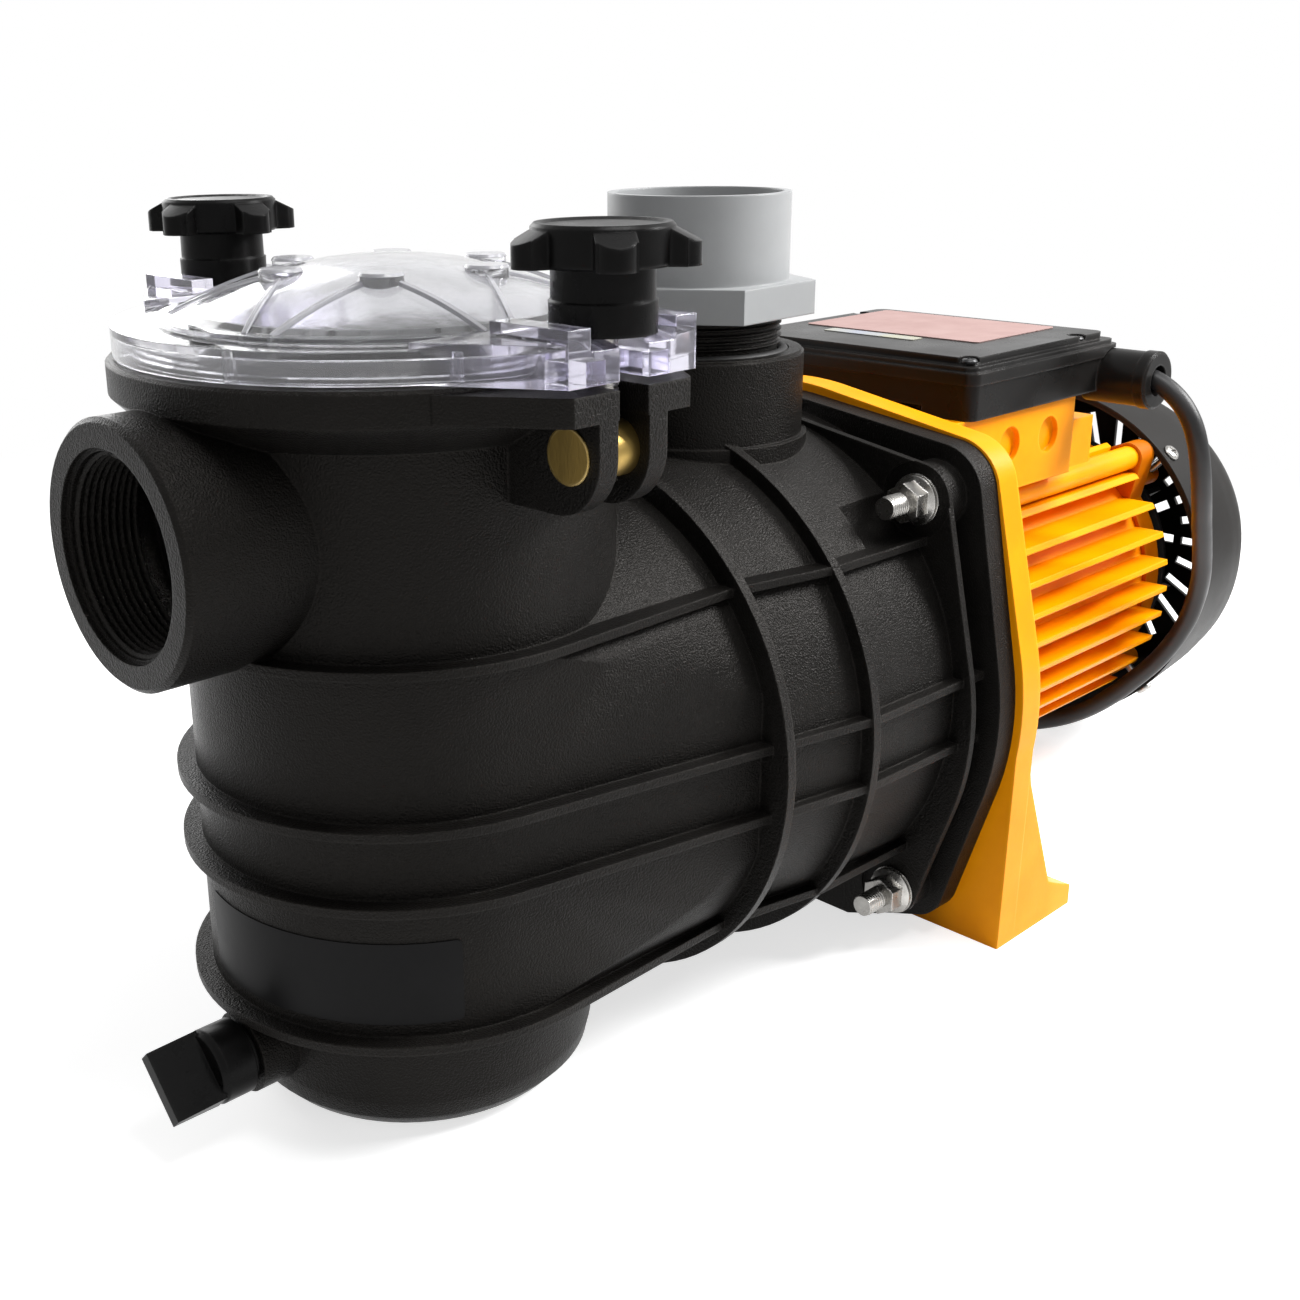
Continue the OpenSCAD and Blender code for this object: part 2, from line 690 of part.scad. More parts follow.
module casing_seal() {
    color(rubber) x_tube(plate_recess_r - 0.2, plate_recess_r - 4, plate_x + 2.5, plate_x + 5.5);
}

module seal_seat() {
    color("#e6e2d8") x_tube(13, shaft_r + 1, plate_x - 3.5, plate_x + 4);
}

module rotary_seal() {
    color("#8f8f8c") {
        x_tube(11.5, shaft_r + seat_gap, plate_x - 6.5, plate_x - 3.5 - 0.05);
        x_tube(10.5, shaft_r + seat_gap, impeller_x + 17, plate_x - 6.5);
    }
}

// ---- flange fasteners ----------------------------------------------------

module at_flange_bolts() {
    for (place = flange_bolts) translate([0, place.x, place.y]) children();
}

module flange_studs() {
    color(steel) at_flange_bolts() x_rod(bolt_r, nut_seat_x - 20, flange_x + flange_t);
}

module flange_nuts() {
    color(steel) at_flange_bolts() difference() {
        union() {
            x_turned([[0, nut_seat_x - 3.2], [6.5, nut_seat_x - 3.2], [9.1, nut_seat_x - 2.2], [9.1, nut_seat_x - 1], [0, nut_seat_x - 1]]);
            along_x(shaft_z, nut_seat_x - 9.5) cylinder(r = 7.5, h = 7, $fn = 6);
        }
        x_rod(bolt_r + seat_gap, nut_seat_x - 20, nut_seat_x + 1);
    }
}

module flange_washers() {
    color(steel) at_flange_bolts() x_tube(9.5, bolt_r + 0.4, nut_seat_x - 1, nut_seat_x);
}

// ---- motor ---------------------------------------------------------------

frame_x = flange_x + flange_t + 1.5;    // front end of the motor frame
shield_x = frame_x + frame_len;         // front face of the rear shield
bearing_r = 17.5;
bearing_t = 11;
bearing1_x = frame_x + 2;
bearing2_x = shield_x + 1;
shield_t = 12;                          // thickness of the rear end shield
inner_race_r = 10.5;
// The through-bolts, as [across, up] from the shaft: wide above, closer below.
corner_bolts = [[48, 58.5], [-48, 58.5], [38, -54], [-38, -54]];
corner_boss_r = 5.5;
foot_hole_back = 24;                    // distance of the holes from the foot's rear edge
frame_r = frame_bore_r + frame_wall;
stack_x = frame_x + 36;
stator_bore_r = 33.6;
rotor_r = stator_bore_r - air_gap;
shaft_front_x = impeller_x - 8;
shaft_rear_x = shield_x + 48;
pedestal_x = frame_x + 11.5;
pedestal_len = 96;
box_x = frame_x + 21.5;
box_z = shaft_z + 100;
well_z = shaft_z + frame_r + 1.5;       // floor of the wiring space in the pedestal
well_w = 72;

module at_corners() {
    for (place = corner_bolts) translate([0, place.x, place.y]) children();
}

module motor_bracket() {
    side_w = 8;
    plate_r = flange_r + 3.2;
    foot_rear = flange_x + foot_len;
    color(orange) difference() {
        union() {
            intersection() {
                x_plate(flange_x, frame_x) {
                    flange_outline(plate_r, ear_r + 1, low_ear_r + 1);
                    polygon([
                        [-foot_half_w, -shaft_z], [foot_half_w, -shaft_z], [foot_half_w + 1.2, -12], [-foot_half_w - 1.2, -12]
                    ]);
                }
                translate([-far, -far, 0]) cube(2 * far);
            }
            for (s = [0, 1]) mirror([0, s, 0]) translate([0, foot_half_w, 0]) rotate([90, 0, 0])
                linear_extrude(side_w) polygon([
                    [flange_x, 0], [foot_rear, 0], [foot_rear, foot_t], [foot_rear - 12, foot_t + 5],
                    [foot_rear - 18, foot_t + 8], [frame_x + 3, 66], [frame_x - 1, 82], [flange_x, 82]
                ]);
            translate([flange_x, -foot_half_w, 0]) cube([foot_len, 2 * foot_half_w, foot_t]);
            x_rod(frame_bore_r - seat_gap, frame_x - 1, frame_x + 4);
            x_rod(bearing_r + 5, frame_x - 1, bearing1_x + bearing_t);
        }
        x_rod(bearing_r + seat_gap, bearing1_x, bearing1_x + bearing_t + 1);
        x_rod(shaft_r + 3, flange_x - 1, far);
        x_rod(21, flange_x - 1, flange_x + 6);
        at_flange_bolts() x_rod(bolt_r + seat_gap, flange_x - 1, frame_x + 1);
        at_corners() x_rod(2.5 + seat_gap, flange_x + 4, frame_x + 1);
        for (s = [-1, 1])
            translate([foot_rear - foot_hole_back, s * foot_hole_span / 2, -1]) cylinder(r = foot_hole_r, h = foot_t + 2);
    }
}

module bearing_outer(x) {
    color(steel) difference() {
        x_tube(bearing_r, inner_race_r + 1.2, x, x + bearing_t);
        x_tube(inner_race_r + 3.2, 1, x + 2.5, x + bearing_t - 2.5);
    }
    color(steel) for (i = [0 : 7]) translate([x + bearing_t / 2, 0, shaft_z]) rotate([45 * i, 0, 0])
        translate([0, 0, inner_race_r + 2]) sphere(r = 1.7);
}

module bearing_inner(x) {
    color(steel) x_tube(inner_race_r, shaft_r + seat_gap, x, x + bearing_t);
}

// The block under the terminal box, its neck, and two steps down behind it.
module pedestal_block() {
    rear_x = pedestal_x + pedestal_len;
    translate([pedestal_x, -box_w / 2 + 4, shaft_z + 66]) cube([pedestal_len, box_w - 8, box_z - shaft_z - 66]);
    translate([pedestal_x, -40, shaft_z + 40]) cube([pedestal_len + 33, 80, 32]);
    translate([rear_x - 1, -46, shaft_z + 64]) cube([16, 92, box_z - shaft_z - 69]);
    translate([rear_x + 14, -50, shaft_z + 63]) cube([20, 100, 22]);
}

module motor_frame() {
    fin_t = 2.4;
    color(orange) difference() {
        union() {
            x_rod(frame_r, frame_x, shield_x);
            intersection() {
                x_rod(fin_r, frame_x, shield_x);
                union() {
                    for (k = [-4 : 4]) translate([frame_x, -far, shaft_z + k * fin_pitch - fin_t / 2])
                        cube([frame_len, 2 * far, fin_t]);
                    for (k = [-3 : 3]) translate([frame_x, k * fin_pitch - fin_t / 2, 0])
                        cube([frame_len, fin_t, far]);
                }
            }
            at_corners() x_rod(corner_boss_r, frame_x, shield_x);
            for (place = corner_bolts) translate([frame_x, 0, shaft_z]) rotate([atan2(place.y, place.x), 0, 0])
                translate([1, frame_r - 3, -2.3]) cube([frame_len - 2, norm(place) - frame_r + 1, 4.6]);
            pedestal_block();
        }
        x_rod(frame_bore_r, frame_x - 1, shield_x + 1);
        at_corners() x_rod(3, frame_x - 1, shield_x + 1);
        // Wiring space in the pedestal.
        translate([pedestal_x + 6, -well_w / 2, well_z]) cube([pedestal_len - 12, well_w, far]);
        translate([pedestal_x + pedestal_len - 18, 0, shaft_z]) cylinder(r = 6, h = far);
        // Round knock-outs on both flanks of the pedestal.
        for (s = [-1, 1], x = [46, 76])
            translate([pedestal_x + x, s * (box_w / 2 - 4), box_z - 14.5]) rotate([90, 0, 0])
                cylinder(r = 7.5, h = 5, center = true);
    }
}

module stator_core() {
    slots = 24;
    color("#6f7174") difference() {
        x_tube(frame_bore_r - seat_gap, stator_bore_r, stack_x, stack_x + stack_len);
        for (i = [0 : slots - 1]) translate([stack_x - 1, 0, shaft_z]) rotate([i * 360 / slots, 0, 0])
            translate([0, stator_bore_r + 2, -2]) cube([stack_len + 2, 11, 4]);
    }
}

module stator_windings() {
    slots = 24;
    color("#b5652a") {
        for (x = [stack_x - 15, stack_x + stack_len]) x_turned([
            [stator_bore_r + 1.5, x], [stator_bore_r + 16, x], [stator_bore_r + 16, x + 15], [stator_bore_r + 1.5, x + 15]
        ]);
        for (i = [0 : slots - 1]) translate([stack_x - 1, 0, shaft_z]) rotate([i * 360 / slots, 0, 0])
            translate([0, stator_bore_r + 2.5, -1.7]) cube([stack_len + 2, 10, 3.4]);
    }
}

module rotor_core() {
    color("#8b8d90") {
        x_tube(rotor_r, shaft_r + seat_gap, stack_x, stack_x + stack_len);
        for (x = [stack_x - 7, stack_x + stack_len]) x_tube(rotor_r - 1, rotor_r - 9, x, x + 7);
    }
}

module motor_shaft() {
    color(steel) x_turned([
        [0, shaft_front_x], [shaft_r - 1, shaft_front_x], [shaft_r, shaft_front_x + 1],
        [shaft_r, shaft_rear_x - 1], [shaft_r - 1, shaft_rear_x], [0, shaft_rear_x]
    ]);
}

module rear_shield() {
    color("#d9740e") difference() {
        union() {
            x_plate(shield_x, cover_x) {
                circle(r = frame_r + 2);
                for (place = corner_bolts) {
                    translate(place) circle(r = corner_boss_r + 1.5);
                    tangent_belt(frame_r - 20, corner_boss_r + 1.5, place);
                }
            }
            x_rod(frame_bore_r - seat_gap, shield_x - 4, shield_x);
            // Lugs that take the screws of the fan cover.
            for (a = [45 : 90 : 315])
                x_rod(5, shield_x, cover_x + 14, shaft_z + cover_lug_r * sin(a), cover_lug_r * cos(a));
        }
        x_rod(bearing_r + seat_gap, shield_x - 5, bearing2_x + bearing_t);
        x_rod(shaft_r + 2, shield_x - 5, far);
        at_corners() x_rod(3, shield_x - 5, shield_x + 20);
        for (i = [0 : 7]) translate([0, 0, shaft_z]) rotate([45 * i + 22.5, 0, 0])
            translate([shield_x - 5, -7, 30]) cube([30, 14, 18]);
        at_cover_screws() cylinder(r = 2 + seat_gap, h = far);
    }
}

module through_bolts() {
    color(steel) at_corners() {
        x_rod(2.5, flange_x + 4, cover_x);
        along_x(shaft_z, cover_x) cylinder(r = 4.2, h = 3.5, $fn = 6);
    }
}

module cooling_fan() {
    fan_x = shield_x + 24;
    color("#2a2a2c") {
        x_tube(14, shaft_r + seat_gap, fan_x, fan_x + 20);
        x_tube(60, 13, fan_x, fan_x + 2.5);
        for (i = [0 : 6]) translate([fan_x, 0, shaft_z]) rotate([360 / 7 * i, 0, 0])
            translate([1, -1.2, 12]) cube([17, 2.4, 46]);
    }
}

cover_x = shield_x + shield_t;
cover_rear_x = cover_x + cover_len;
cover_lug_r = 66;
cover_screw_x = cover_x + 8;

// The radial axes of the four screws that hold the fan cover.
module at_cover_screws() {
    for (a = [45 : 90 : 315]) translate([cover_screw_x, 0, shaft_z]) rotate([a, 0, 0]) rotate([-90, 0, 0])
        children();
}

module cover_profile(grow) {
    polygon([
        [0, cover_x - 5 * grow], [cover_front_r - grow, cover_x - 5 * grow], [cover_front_r - 3.5 - grow, cover_x + 40],
        [cover_front_r - 6 - grow, cover_x + 56], [cover_front_r - 11 - grow, cover_rear_x - 6 - grow / 2],
        [cover_front_r - 18 - grow, cover_rear_x - grow], [0, cover_rear_x - grow]
    ]);
}

module fan_cover() {
    color("#3b3a3c") difference() {
        along_x() rotate_extrude() cover_profile(0);
        along_x() rotate_extrude() cover_profile(cover_wall);
        for (i = [0 : 23]) translate([cover_rear_x - 10, 0, shaft_z]) rotate([15 * i, 0, 0]) {
            translate([0, -2, 40]) cube([20, 4, 22]);
            if (i % 2 == 0) translate([0, -2.2, 16]) cube([20, 4.4, 20]);
        }
        at_cover_screws() cylinder(r = 2 + seat_gap, h = far);
    }
}

module cover_screws() {
    head_r = cover_front_r - 0.4;
    color(steel) at_cover_screws() {
        translate([0, 0, head_r]) cylinder(r = 4, h = 2);
        translate([0, 0, cover_lug_r - 3]) cylinder(r = 2, h = head_r - cover_lug_r + 4);
    }
}

// ---- terminal box and cable entry ----------------------------------------

gland_x = box_x + box_len - 5;
gland_z = box_z + 5.5;
gland_boss_r = 11.7;
gland_bore_r = cable_r + 3.95;
gland_root = box_w / 2 - 9;             // how far out from the middle plane the boss starts
gland_nut = box_w / 2 + 15.5;           // and where the nut sits on it
gland_nut_t = 5.5;
lid_top_z = box_z + box_base_h + box_lid_h;

module box_outline(shrink = 0) {
    translate([box_x + box_len / 2, 0]) round_rect(box_len - 2 * shrink, box_w - 2 * shrink, 5);
}

module at_box_corners() {
    for (x = [8, box_len - 24], sy = [-1, 1])
        translate([box_x + x, sy * (box_w / 2 - 8), 0]) children();
}

// Along the gland's axis, which leaves the near side square to the box.
module along_gland(out) {
    translate([gland_x, -out, gland_z]) rotate([90, 0, 0]) children();
}

module terminal_base() {
    color(black) difference() {
        union() {
            difference() {
                translate([0, 0, box_z]) linear_extrude(box_base_h) box_outline(1);
                translate([0, 0, box_z + 2.5]) linear_extrude(far) box_outline(3.5);
            }
            translate([0, 0, box_z]) at_box_corners() cylinder(r = 4.9, h = box_base_h);
            along_gland(gland_root) cylinder(r = gland_boss_r, h = gland_nut - gland_root);
        }
        along_gland(gland_root + 2) cylinder(r = gland_bore_r, h = far);
        along_gland(gland_root - 1) cylinder(r = 2, h = 10);
        translate([pedestal_x + 8, -box_w / 2 + 24, box_z - 1]) cube([pedestal_len - 16, box_w - 48, 5]);
        translate([0, 0, box_z + 2]) at_box_corners() cylinder(r = 1.6, h = far);
    }
}

module terminal_lid() {
    color(black) difference() {
        union() {
            translate([0, 0, box_z + box_base_h]) linear_extrude(box_lid_h - 5) box_outline();
            translate([0, 0, box_z + box_base_h]) linear_extrude(box_lid_h - 3) box_outline(1.5);
            translate([0, 0, box_z + box_base_h]) linear_extrude(box_lid_h) box_outline(5);
        }
        translate([0, 0, box_z + box_base_h - 1]) linear_extrude(box_lid_h - 2) box_outline(7);
        translate([0, 0, box_z]) at_box_corners() cylinder(r = 2, h = far);
        translate([0, 0, lid_top_z - 2]) at_box_corners() cylinder(r = 3.8, h = far);
        along_gland(gland_root - 4) cylinder(r = gland_boss_r + skin, h = 20);
    }
    color(black) translate([0, 0, box_z + box_base_h]) at_box_corners() difference() {
        cylinder(r = 4.5, h = box_lid_h - 3);
        translate([0, 0, -1]) cylinder(r = 2, h = far);
    }
}

module terminal_screws() {
    color(steel) translate([0, 0, lid_top_z - 2]) at_box_corners() {
        cylinder(r = 3.3, h = 1.6);
        translate([0, 0, -16]) cylinder(r = 1.5, h = 17);
    }
}

module terminal_block() {
    color("#e8e4da") difference() {
        translate([box_x + 84, -22, box_z + 2.5]) cube([16, 50, 12]);
        for (i = [0 : 3]) translate([box_x + 92, -15 + 12 * i, box_z + 8]) cylinder(r = 2.2, h = 20);
    }
}

capacitor_r = 17;

module capacitor() {
    color("#d4d5d2") x_rod(capacitor_r, pedestal_x + 10, pedestal_x + 72, well_z + capacitor_r, 14);
}

module gland_nut() {
    color(black) along_gland(gland_nut) difference() {
        union() {
            cylinder(r = gland_boss_r + 0.6, h = gland_nut_t - 0.8);
            cylinder(r = gland_boss_r - 0.2, h = gland_nut_t);
        }
        translate([0, 0, -1]) cylinder(r = cable_r + 2.25, h = 20);
    }
}

// A tapered rubber sleeve that grips the cable inside the gland.
module gland_sleeve() {
    color(rubber) translate([0, 0, cable_route[0].z - gland_z]) along_gland(gland_root + 2.2) difference() {
        cylinder(r1 = cable_r + 1.95, r2 = cable_r + 1.05, h = 20);
        translate([0, 0, -1]) cylinder(r = cable_r + 0.45, h = 40);
    }
}

// ---- mains cable ---------------------------------------------------------

// The cable's route from inside the gland to the start of the coil.
cable_route = [
    [340, -57, 204.2], [340, -64, 204.2], [340, -72, 204.2], [340, -80.8, 203], [340, -89, 199.3], [340, -95.8, 193.6],
    [340.2, -100.8, 186.2], [341, -103.8, 177.5], [343.4, -104.8, 168.5], [347.6, -104.4, 159.3], [353.5, -102.9, 149.8],
    [360.5, -100.8, 139.8], [368, -98.7, 129.6], [375.5, -96.4, 119.2], [382.3, -93.8, 108.8], [387.8, -90.4, 97.4],
    [391.3, -86, 84.5], [393, -80, 72], [393.5, -72.5, 60], [393.5, -63, 48.5], [393.5, -52.5, 37],
    [393.5, -40, 26.3], [393, -26, 17.6], [392.5, -10, 11], [391, 7, 6.8], [388, 25, 4.9],
    [382.5, 44, 4.5], [373.5, 63, 4.5], [361.5, 81, 4.5], [346, 97.5, 4.5], [327, 112.5, 4.5],
    [305, 124.8, 4.6], [282, 133, 4.9], [258.5, 137.4, 5.3]
];
// The short tail from the coil to the plug.
tail_route = [
    [229, 131.4, 13.1], [212, 129.3, 12.2], [195, 129.6, 11.8], [179, 131.8, 12.4],
    [164, 135.2, 13.5], [150, 138.3, 14.6], [138, 140, 15], [120, 140, 15]
];
coil_centre = [230, 190];
// Section of the coil: two turns side by side and one on top of them.
coil_section = [[38.75, 1.05], [55.75, 1.05], [55.75, 9.55], [51.5, 16.9], [43, 16.9], [38.75, 9.55]];

function segment(t, count) = min(floor(t), count - 2);
function spline_point(p, i, u) =
    let (
        a = p[max(i - 1, 0)], b = p[i], c = p[i + 1], d = p[min(i + 2, len(p) - 1)],
        u2 = u * u, u3 = u * u * u
    )
    0.5 * ((2 * b) + (c - a) * u + (2 * a - 5 * b + 4 * c - d) * u2 + (3 * b - a - 3 * c + d) * u3);
function along(p, t) = let (i = segment(t, len(p))) spline_point(p, i, t - i);
function unit(v) = v / norm(v);

// A tube of radius r swept along a smooth curve through the points.
module swept_tube(p, r, rings, sides) {
    step = (len(p) - 1) / (rings - 1);
    centres = [for (k = [0 : rings - 1]) along(p, k * step)];
    ways = [for (k = [0 : rings - 1]) unit(centres[min(k + 1, rings - 1)] - centres[max(k - 1, 0)])];
    points = [
        for (k = [0 : rings - 1])
            let (
                across = unit(cross(ways[k], [0.05, 0.1, 1])),
                over = cross(ways[k], across)
            )
            for (s = [0 : sides - 1]) centres[k] + r * (cos(s * 360 / sides) * across + sin(s * 360 / sides) * over)
    ];
    sides_faces = [
        for (k = [0 : rings - 2], s = [0 : sides - 1])
            let (n = (s + 1) % sides)
            [k * sides + s, k * sides + n, (k + 1) * sides + n, (k + 1) * sides + s]
    ];
    first = [for (s = [sides - 1 : -1 : 0]) s];
    last = [for (s = [0 : sides - 1]) (rings - 1) * sides + s];
    polyhedron(points, concat([first], sides_faces, [last]), convexity = 6);
}

module mains_cable() {
    color(rubber) {
        swept_tube(cable_route, cable_r, 75, 10);
        swept_tube(tail_route, cable_r, 14, 10);
    }
}

module cable_coil() {
    color(rubber) translate([coil_centre.x, coil_centre.y, 0]) rotate_extrude() polygon(coil_section);
}

module cable_tie() {
    color("#e9e9e6") translate([coil_centre.x, coil_centre.y - 3, 0]) rotate([90, 0, 180]) linear_extrude(6)
        difference() {
            polygon([[37.5, 0.05], [57, 0.05], [57, 9.9], [52.3, 18.1], [42.2, 18.1], [37.5, 9.9]]);
            polygon([[38.5, 0.9], [56, 0.9], [56, 9.65], [51.7, 17.15], [42.8, 17.15], [38.5, 9.65]]);
        }
}

plug_place = [94, 140, 15];          // front face of the plug, on its axis

module mains_plug() {
    color(rubber) translate(plug_place) rotate([0, 90, 0]) difference() {
        rotate_extrude() polygon([[0, 0], [15, 0], [15, 18], [11, 26], [7, 30], [5.2, 44], [0, 44]]);
        for (s = [-1, 1]) translate([0, 9.5 * s, -1]) cylinder(r = 2.4 + seat_gap, h = 12);
        translate([0, 0, 24]) cylinder(r = cable_r + 0.4, h = 40);
    }
}

module plug_pins() {
    color(steel) translate(plug_place) rotate([0, 90, 0])
        for (s = [-1, 1]) translate([0, 9.5 * s, -18]) cylinder(r = 2.4, h = 28);
}

// ---- the parts -----------------------------------------------------------

pump_body();
strainer_basket();
lid_gasket();
strainer_lid();
clamp_barrel("near");  // near_clamp_barrel
swing_bolt("near");  // near_swing_bolt
knob_washer("near");  // near_knob_washer
knob("near");  // near_knob
knob_insert("near");  // near_knob_insert
clamp_barrel("far");  // far_clamp_barrel
swing_bolt("far");  // far_swing_bolt
knob_washer("far");  // far_knob_washer
knob("far");  // far_knob
knob_insert("far");  // far_knob_insert
drain_seal();
drain_plug();
outlet_nipple();
outlet_seal();
outlet_adaptor();
diffuser();
impeller();
seal_plate();
casing_seal();
seal_seat();
rotary_seal();
flange_studs();
flange_nuts();
flange_washers();
motor_bracket();
bearing_outer(bearing1_x);  // front_bearing_outer
bearing_inner(bearing1_x);  // front_bearing_inner
motor_frame();
stator_core();
stator_windings();
rotor_core();
motor_shaft();
bearing_outer(bearing2_x);  // rear_bearing_outer
bearing_inner(bearing2_x);  // rear_bearing_inner
rear_shield();
through_bolts();
cooling_fan();
fan_cover();
cover_screws();
terminal_base();
terminal_lid();
terminal_screws();
terminal_block();
capacitor();
gland_nut();
gland_sleeve();
mains_cable();
cable_coil();
cable_tie();
mains_plug();
plug_pins();
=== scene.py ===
import math

import bmesh
import bpy
from mathutils import Matrix, Vector


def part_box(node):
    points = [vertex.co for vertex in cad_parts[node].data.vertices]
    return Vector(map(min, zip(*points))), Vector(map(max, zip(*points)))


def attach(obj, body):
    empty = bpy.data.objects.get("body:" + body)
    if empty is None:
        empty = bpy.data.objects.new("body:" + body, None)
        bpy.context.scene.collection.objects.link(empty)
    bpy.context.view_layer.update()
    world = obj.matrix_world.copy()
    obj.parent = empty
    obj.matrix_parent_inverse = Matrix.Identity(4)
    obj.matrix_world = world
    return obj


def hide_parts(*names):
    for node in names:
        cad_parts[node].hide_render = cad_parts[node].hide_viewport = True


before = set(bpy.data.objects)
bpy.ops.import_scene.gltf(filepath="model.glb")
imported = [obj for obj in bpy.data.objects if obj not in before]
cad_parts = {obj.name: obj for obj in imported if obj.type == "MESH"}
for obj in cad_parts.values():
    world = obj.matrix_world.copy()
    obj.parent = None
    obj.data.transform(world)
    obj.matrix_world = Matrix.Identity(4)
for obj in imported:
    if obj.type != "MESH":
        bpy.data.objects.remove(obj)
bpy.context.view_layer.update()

# ---- Camera ---------------------------------------------------------------
# The pump is seen from its strainer end, a little above the lid, with the
# motor running away to the right.

CAMERA_PLACE = (-0.2955, -0.3894, 0.3184)
HEADING, DOWNWARD, ROLL = 47.28, 18.42, -0.83


def added(name, data):
    """A new object in the scene that shows the given data."""
    made = bpy.data.objects.new(name, data)
    bpy.context.scene.collection.objects.link(made)
    return made


camera_data = bpy.data.cameras.new("camera")
camera_data.sensor_width = 36.0
camera_data.lens = 43.22
camera_data.shift_x = 0.0799
camera_data.shift_y = -0.0231
camera_data.clip_start = 0.02
camera = added("camera", camera_data)
camera.matrix_world = (
    Matrix.Translation(CAMERA_PLACE)
    @ Matrix.Rotation(math.radians(HEADING - 90.0), 4, "Z")
    @ Matrix.Rotation(math.radians(90.0 - DOWNWARD), 4, "X")
    @ Matrix.Rotation(math.radians(ROLL), 4, "Z")
)
bpy.context.scene.camera = camera

# ---- Mains cable ----------------------------------------------------------
# A round rubber-sheathed cable, 8.5 mm thick. It hangs from the gland, runs
# under the fan end, and its spare length is wound into a coil of three turns
# on the far side of the casing.

CABLE_R = 0.00425

# The cable's route, in millimetres.
from_gland = [
    (340, -57, 204.2), (340, -64, 204.2), (340, -72, 204.2), (340, -80.8, 203),
    (340, -89, 199.3), (340, -95.8, 193.6), (340.2, -100.8, 186.2), (341, -103.8, 177.5),
    (343.4, -104.8, 168.5), (347.6, -104.4, 159.3), (353.5, -102.9, 149.8), (360.5, -100.8, 139.8),
    (368, -98.7, 129.6), (375.5, -96.4, 119.2), (382.3, -93.8, 108.8), (387.8, -90.4, 97.4),
    (391.3, -86, 84.5), (393, -80, 72), (393.5, -72.5, 60), (393.5, -63, 48.5),
    (393.5, -52.5, 37), (393.5, -40, 26.3), (393, -26, 17.6), (392.5, -10, 11),
    (391, 7, 6.8), (388, 25, 4.9), (382.5, 44, 4.5), (373.5, 63, 4.5), (361.5, 81, 4.5),
    (346, 97.5, 4.5), (327, 112.5, 4.5), (305, 124.8, 4.6), (282, 133, 4.9), (258.5, 137.4, 5.3),
]
to_plug = [
    (229, 131.4, 13.1), (212, 129.3, 12.2), (195, 129.6, 11.8), (179, 131.8, 12.4),
    (164, 135.2, 13.5), (150, 138.3, 14.6), (138, 140, 15), (120, 140, 15),
]

# The coil: its centre, the first turn's radius and height, and how far the
# cable shifts between two winding angles, in millimetres and degrees.
COIL_X, COIL_Y, FIRST_OUT, FIRST_UP = 230.0, 190.0, 51.6, 5.3
SHIFTS_OUT = [(-8.6, 290, 358), (4.25, 615, 665), (4.25, 895, 945), (4.5, 965, 1015)]
SHIFTS_UP = [(7.35, 585, 640), (1.2, 625, 655), (-1.2, 725, 760), (1.2, 890, 935)]
WOUND_TO, WINDING_STEP = 1060, 20


def ease(start, end, at):
    """From 0 to 1 between two winding angles, with no kink at either."""
    share = min(max((at - start) / (end - start), 0.0), 1.0)
    return share * share * (3 - 2 * share)


def on_coil(turned):
    """The cable's place in the coil once it has been wound by an angle in degrees."""
    out = FIRST_OUT + sum(shift * ease(start, end, turned) for shift, start, end in SHIFTS_OUT)
    up = FIRST_UP + sum(shift * ease(start, end, turned) for shift, start, end in SHIFTS_UP)
    angle = math.radians(270 - turned)
    return (COIL_X + out * math.cos(angle), COIL_Y + out * math.sin(angle), up)


def rounded(points, steps):
    """Points on the smooth curve through the given points."""
    made = []
    for i in range(len(points) - 1):
        a, b = Vector(points[max(i - 1, 0)]), Vector(points[i])
        c, d = Vector(points[i + 1]), Vector(points[min(i + 2, len(points) - 1)])
        for k in range(steps):
            u = k / steps
            made.append(0.5 * ((2 * b) + (c - a) * u + (2 * a - 5 * b + 4 * c - d) * u ** 2
                               + (3 * b - a - 3 * c + d) * u ** 3))
    return made + [Vector(points[-1])]


wound = [on_coil(turned) for turned in range(0, WOUND_TO + 1, WINDING_STEP)]
cable_line = [p / 1000 for p in rounded(from_gland + wound + to_plug, steps=5)]
cable_curve = bpy.data.curves.new("mains_cable_sheath", "CURVE")
cable_curve.dimensions = "3D"
cable_curve.bevel_depth = CABLE_R
cable_curve.bevel_resolution = 5
cable_curve.use_fill_caps = True
spline = cable_curve.splines.new("POLY")
spline.points.add(len(cable_line) - 1)
for point, place in zip(spline.points, cable_line):
    point.co = (*place, 1)
mains_cable_sheath = added("mains_cable_sheath", cable_curve)


def node(tree, kind, **values):
    """A new node of a material, with its settings and its inputs filled in."""
    made = tree.nodes.new("ShaderNode" + kind)
    for key, value in values.items():
        if hasattr(made, key) and key not in made.inputs:
            setattr(made, key, value)
        else:
            made.inputs[key.replace("_", " ")].default_value = value
    return made


def rescaled(tree, value, given, wanted=(0.0, 1.0), **settings):
    """A value carried from one range to another, and held inside it."""
    made = node(tree, "MapRange", From_Min=given[0], From_Max=given[1], To_Min=wanted[0],
                To_Max=wanted[1], **settings)
    tree.links.new(value, made.inputs["Value"])
    return made.outputs["Result"]


def blended(tree, share, first, second):
    """A mix of two colours, each given as a value or as another node's output."""
    made = node(tree, "Mix", data_type="RGBA")
    tree.links.new(share, made.inputs[0])
    for socket, colour in ((made.inputs[6], first), (made.inputs[7], second)):
        if isinstance(colour, tuple):
            socket.default_value = (*colour, 1)
        else:
            tree.links.new(colour, socket)
    return made.outputs[2]


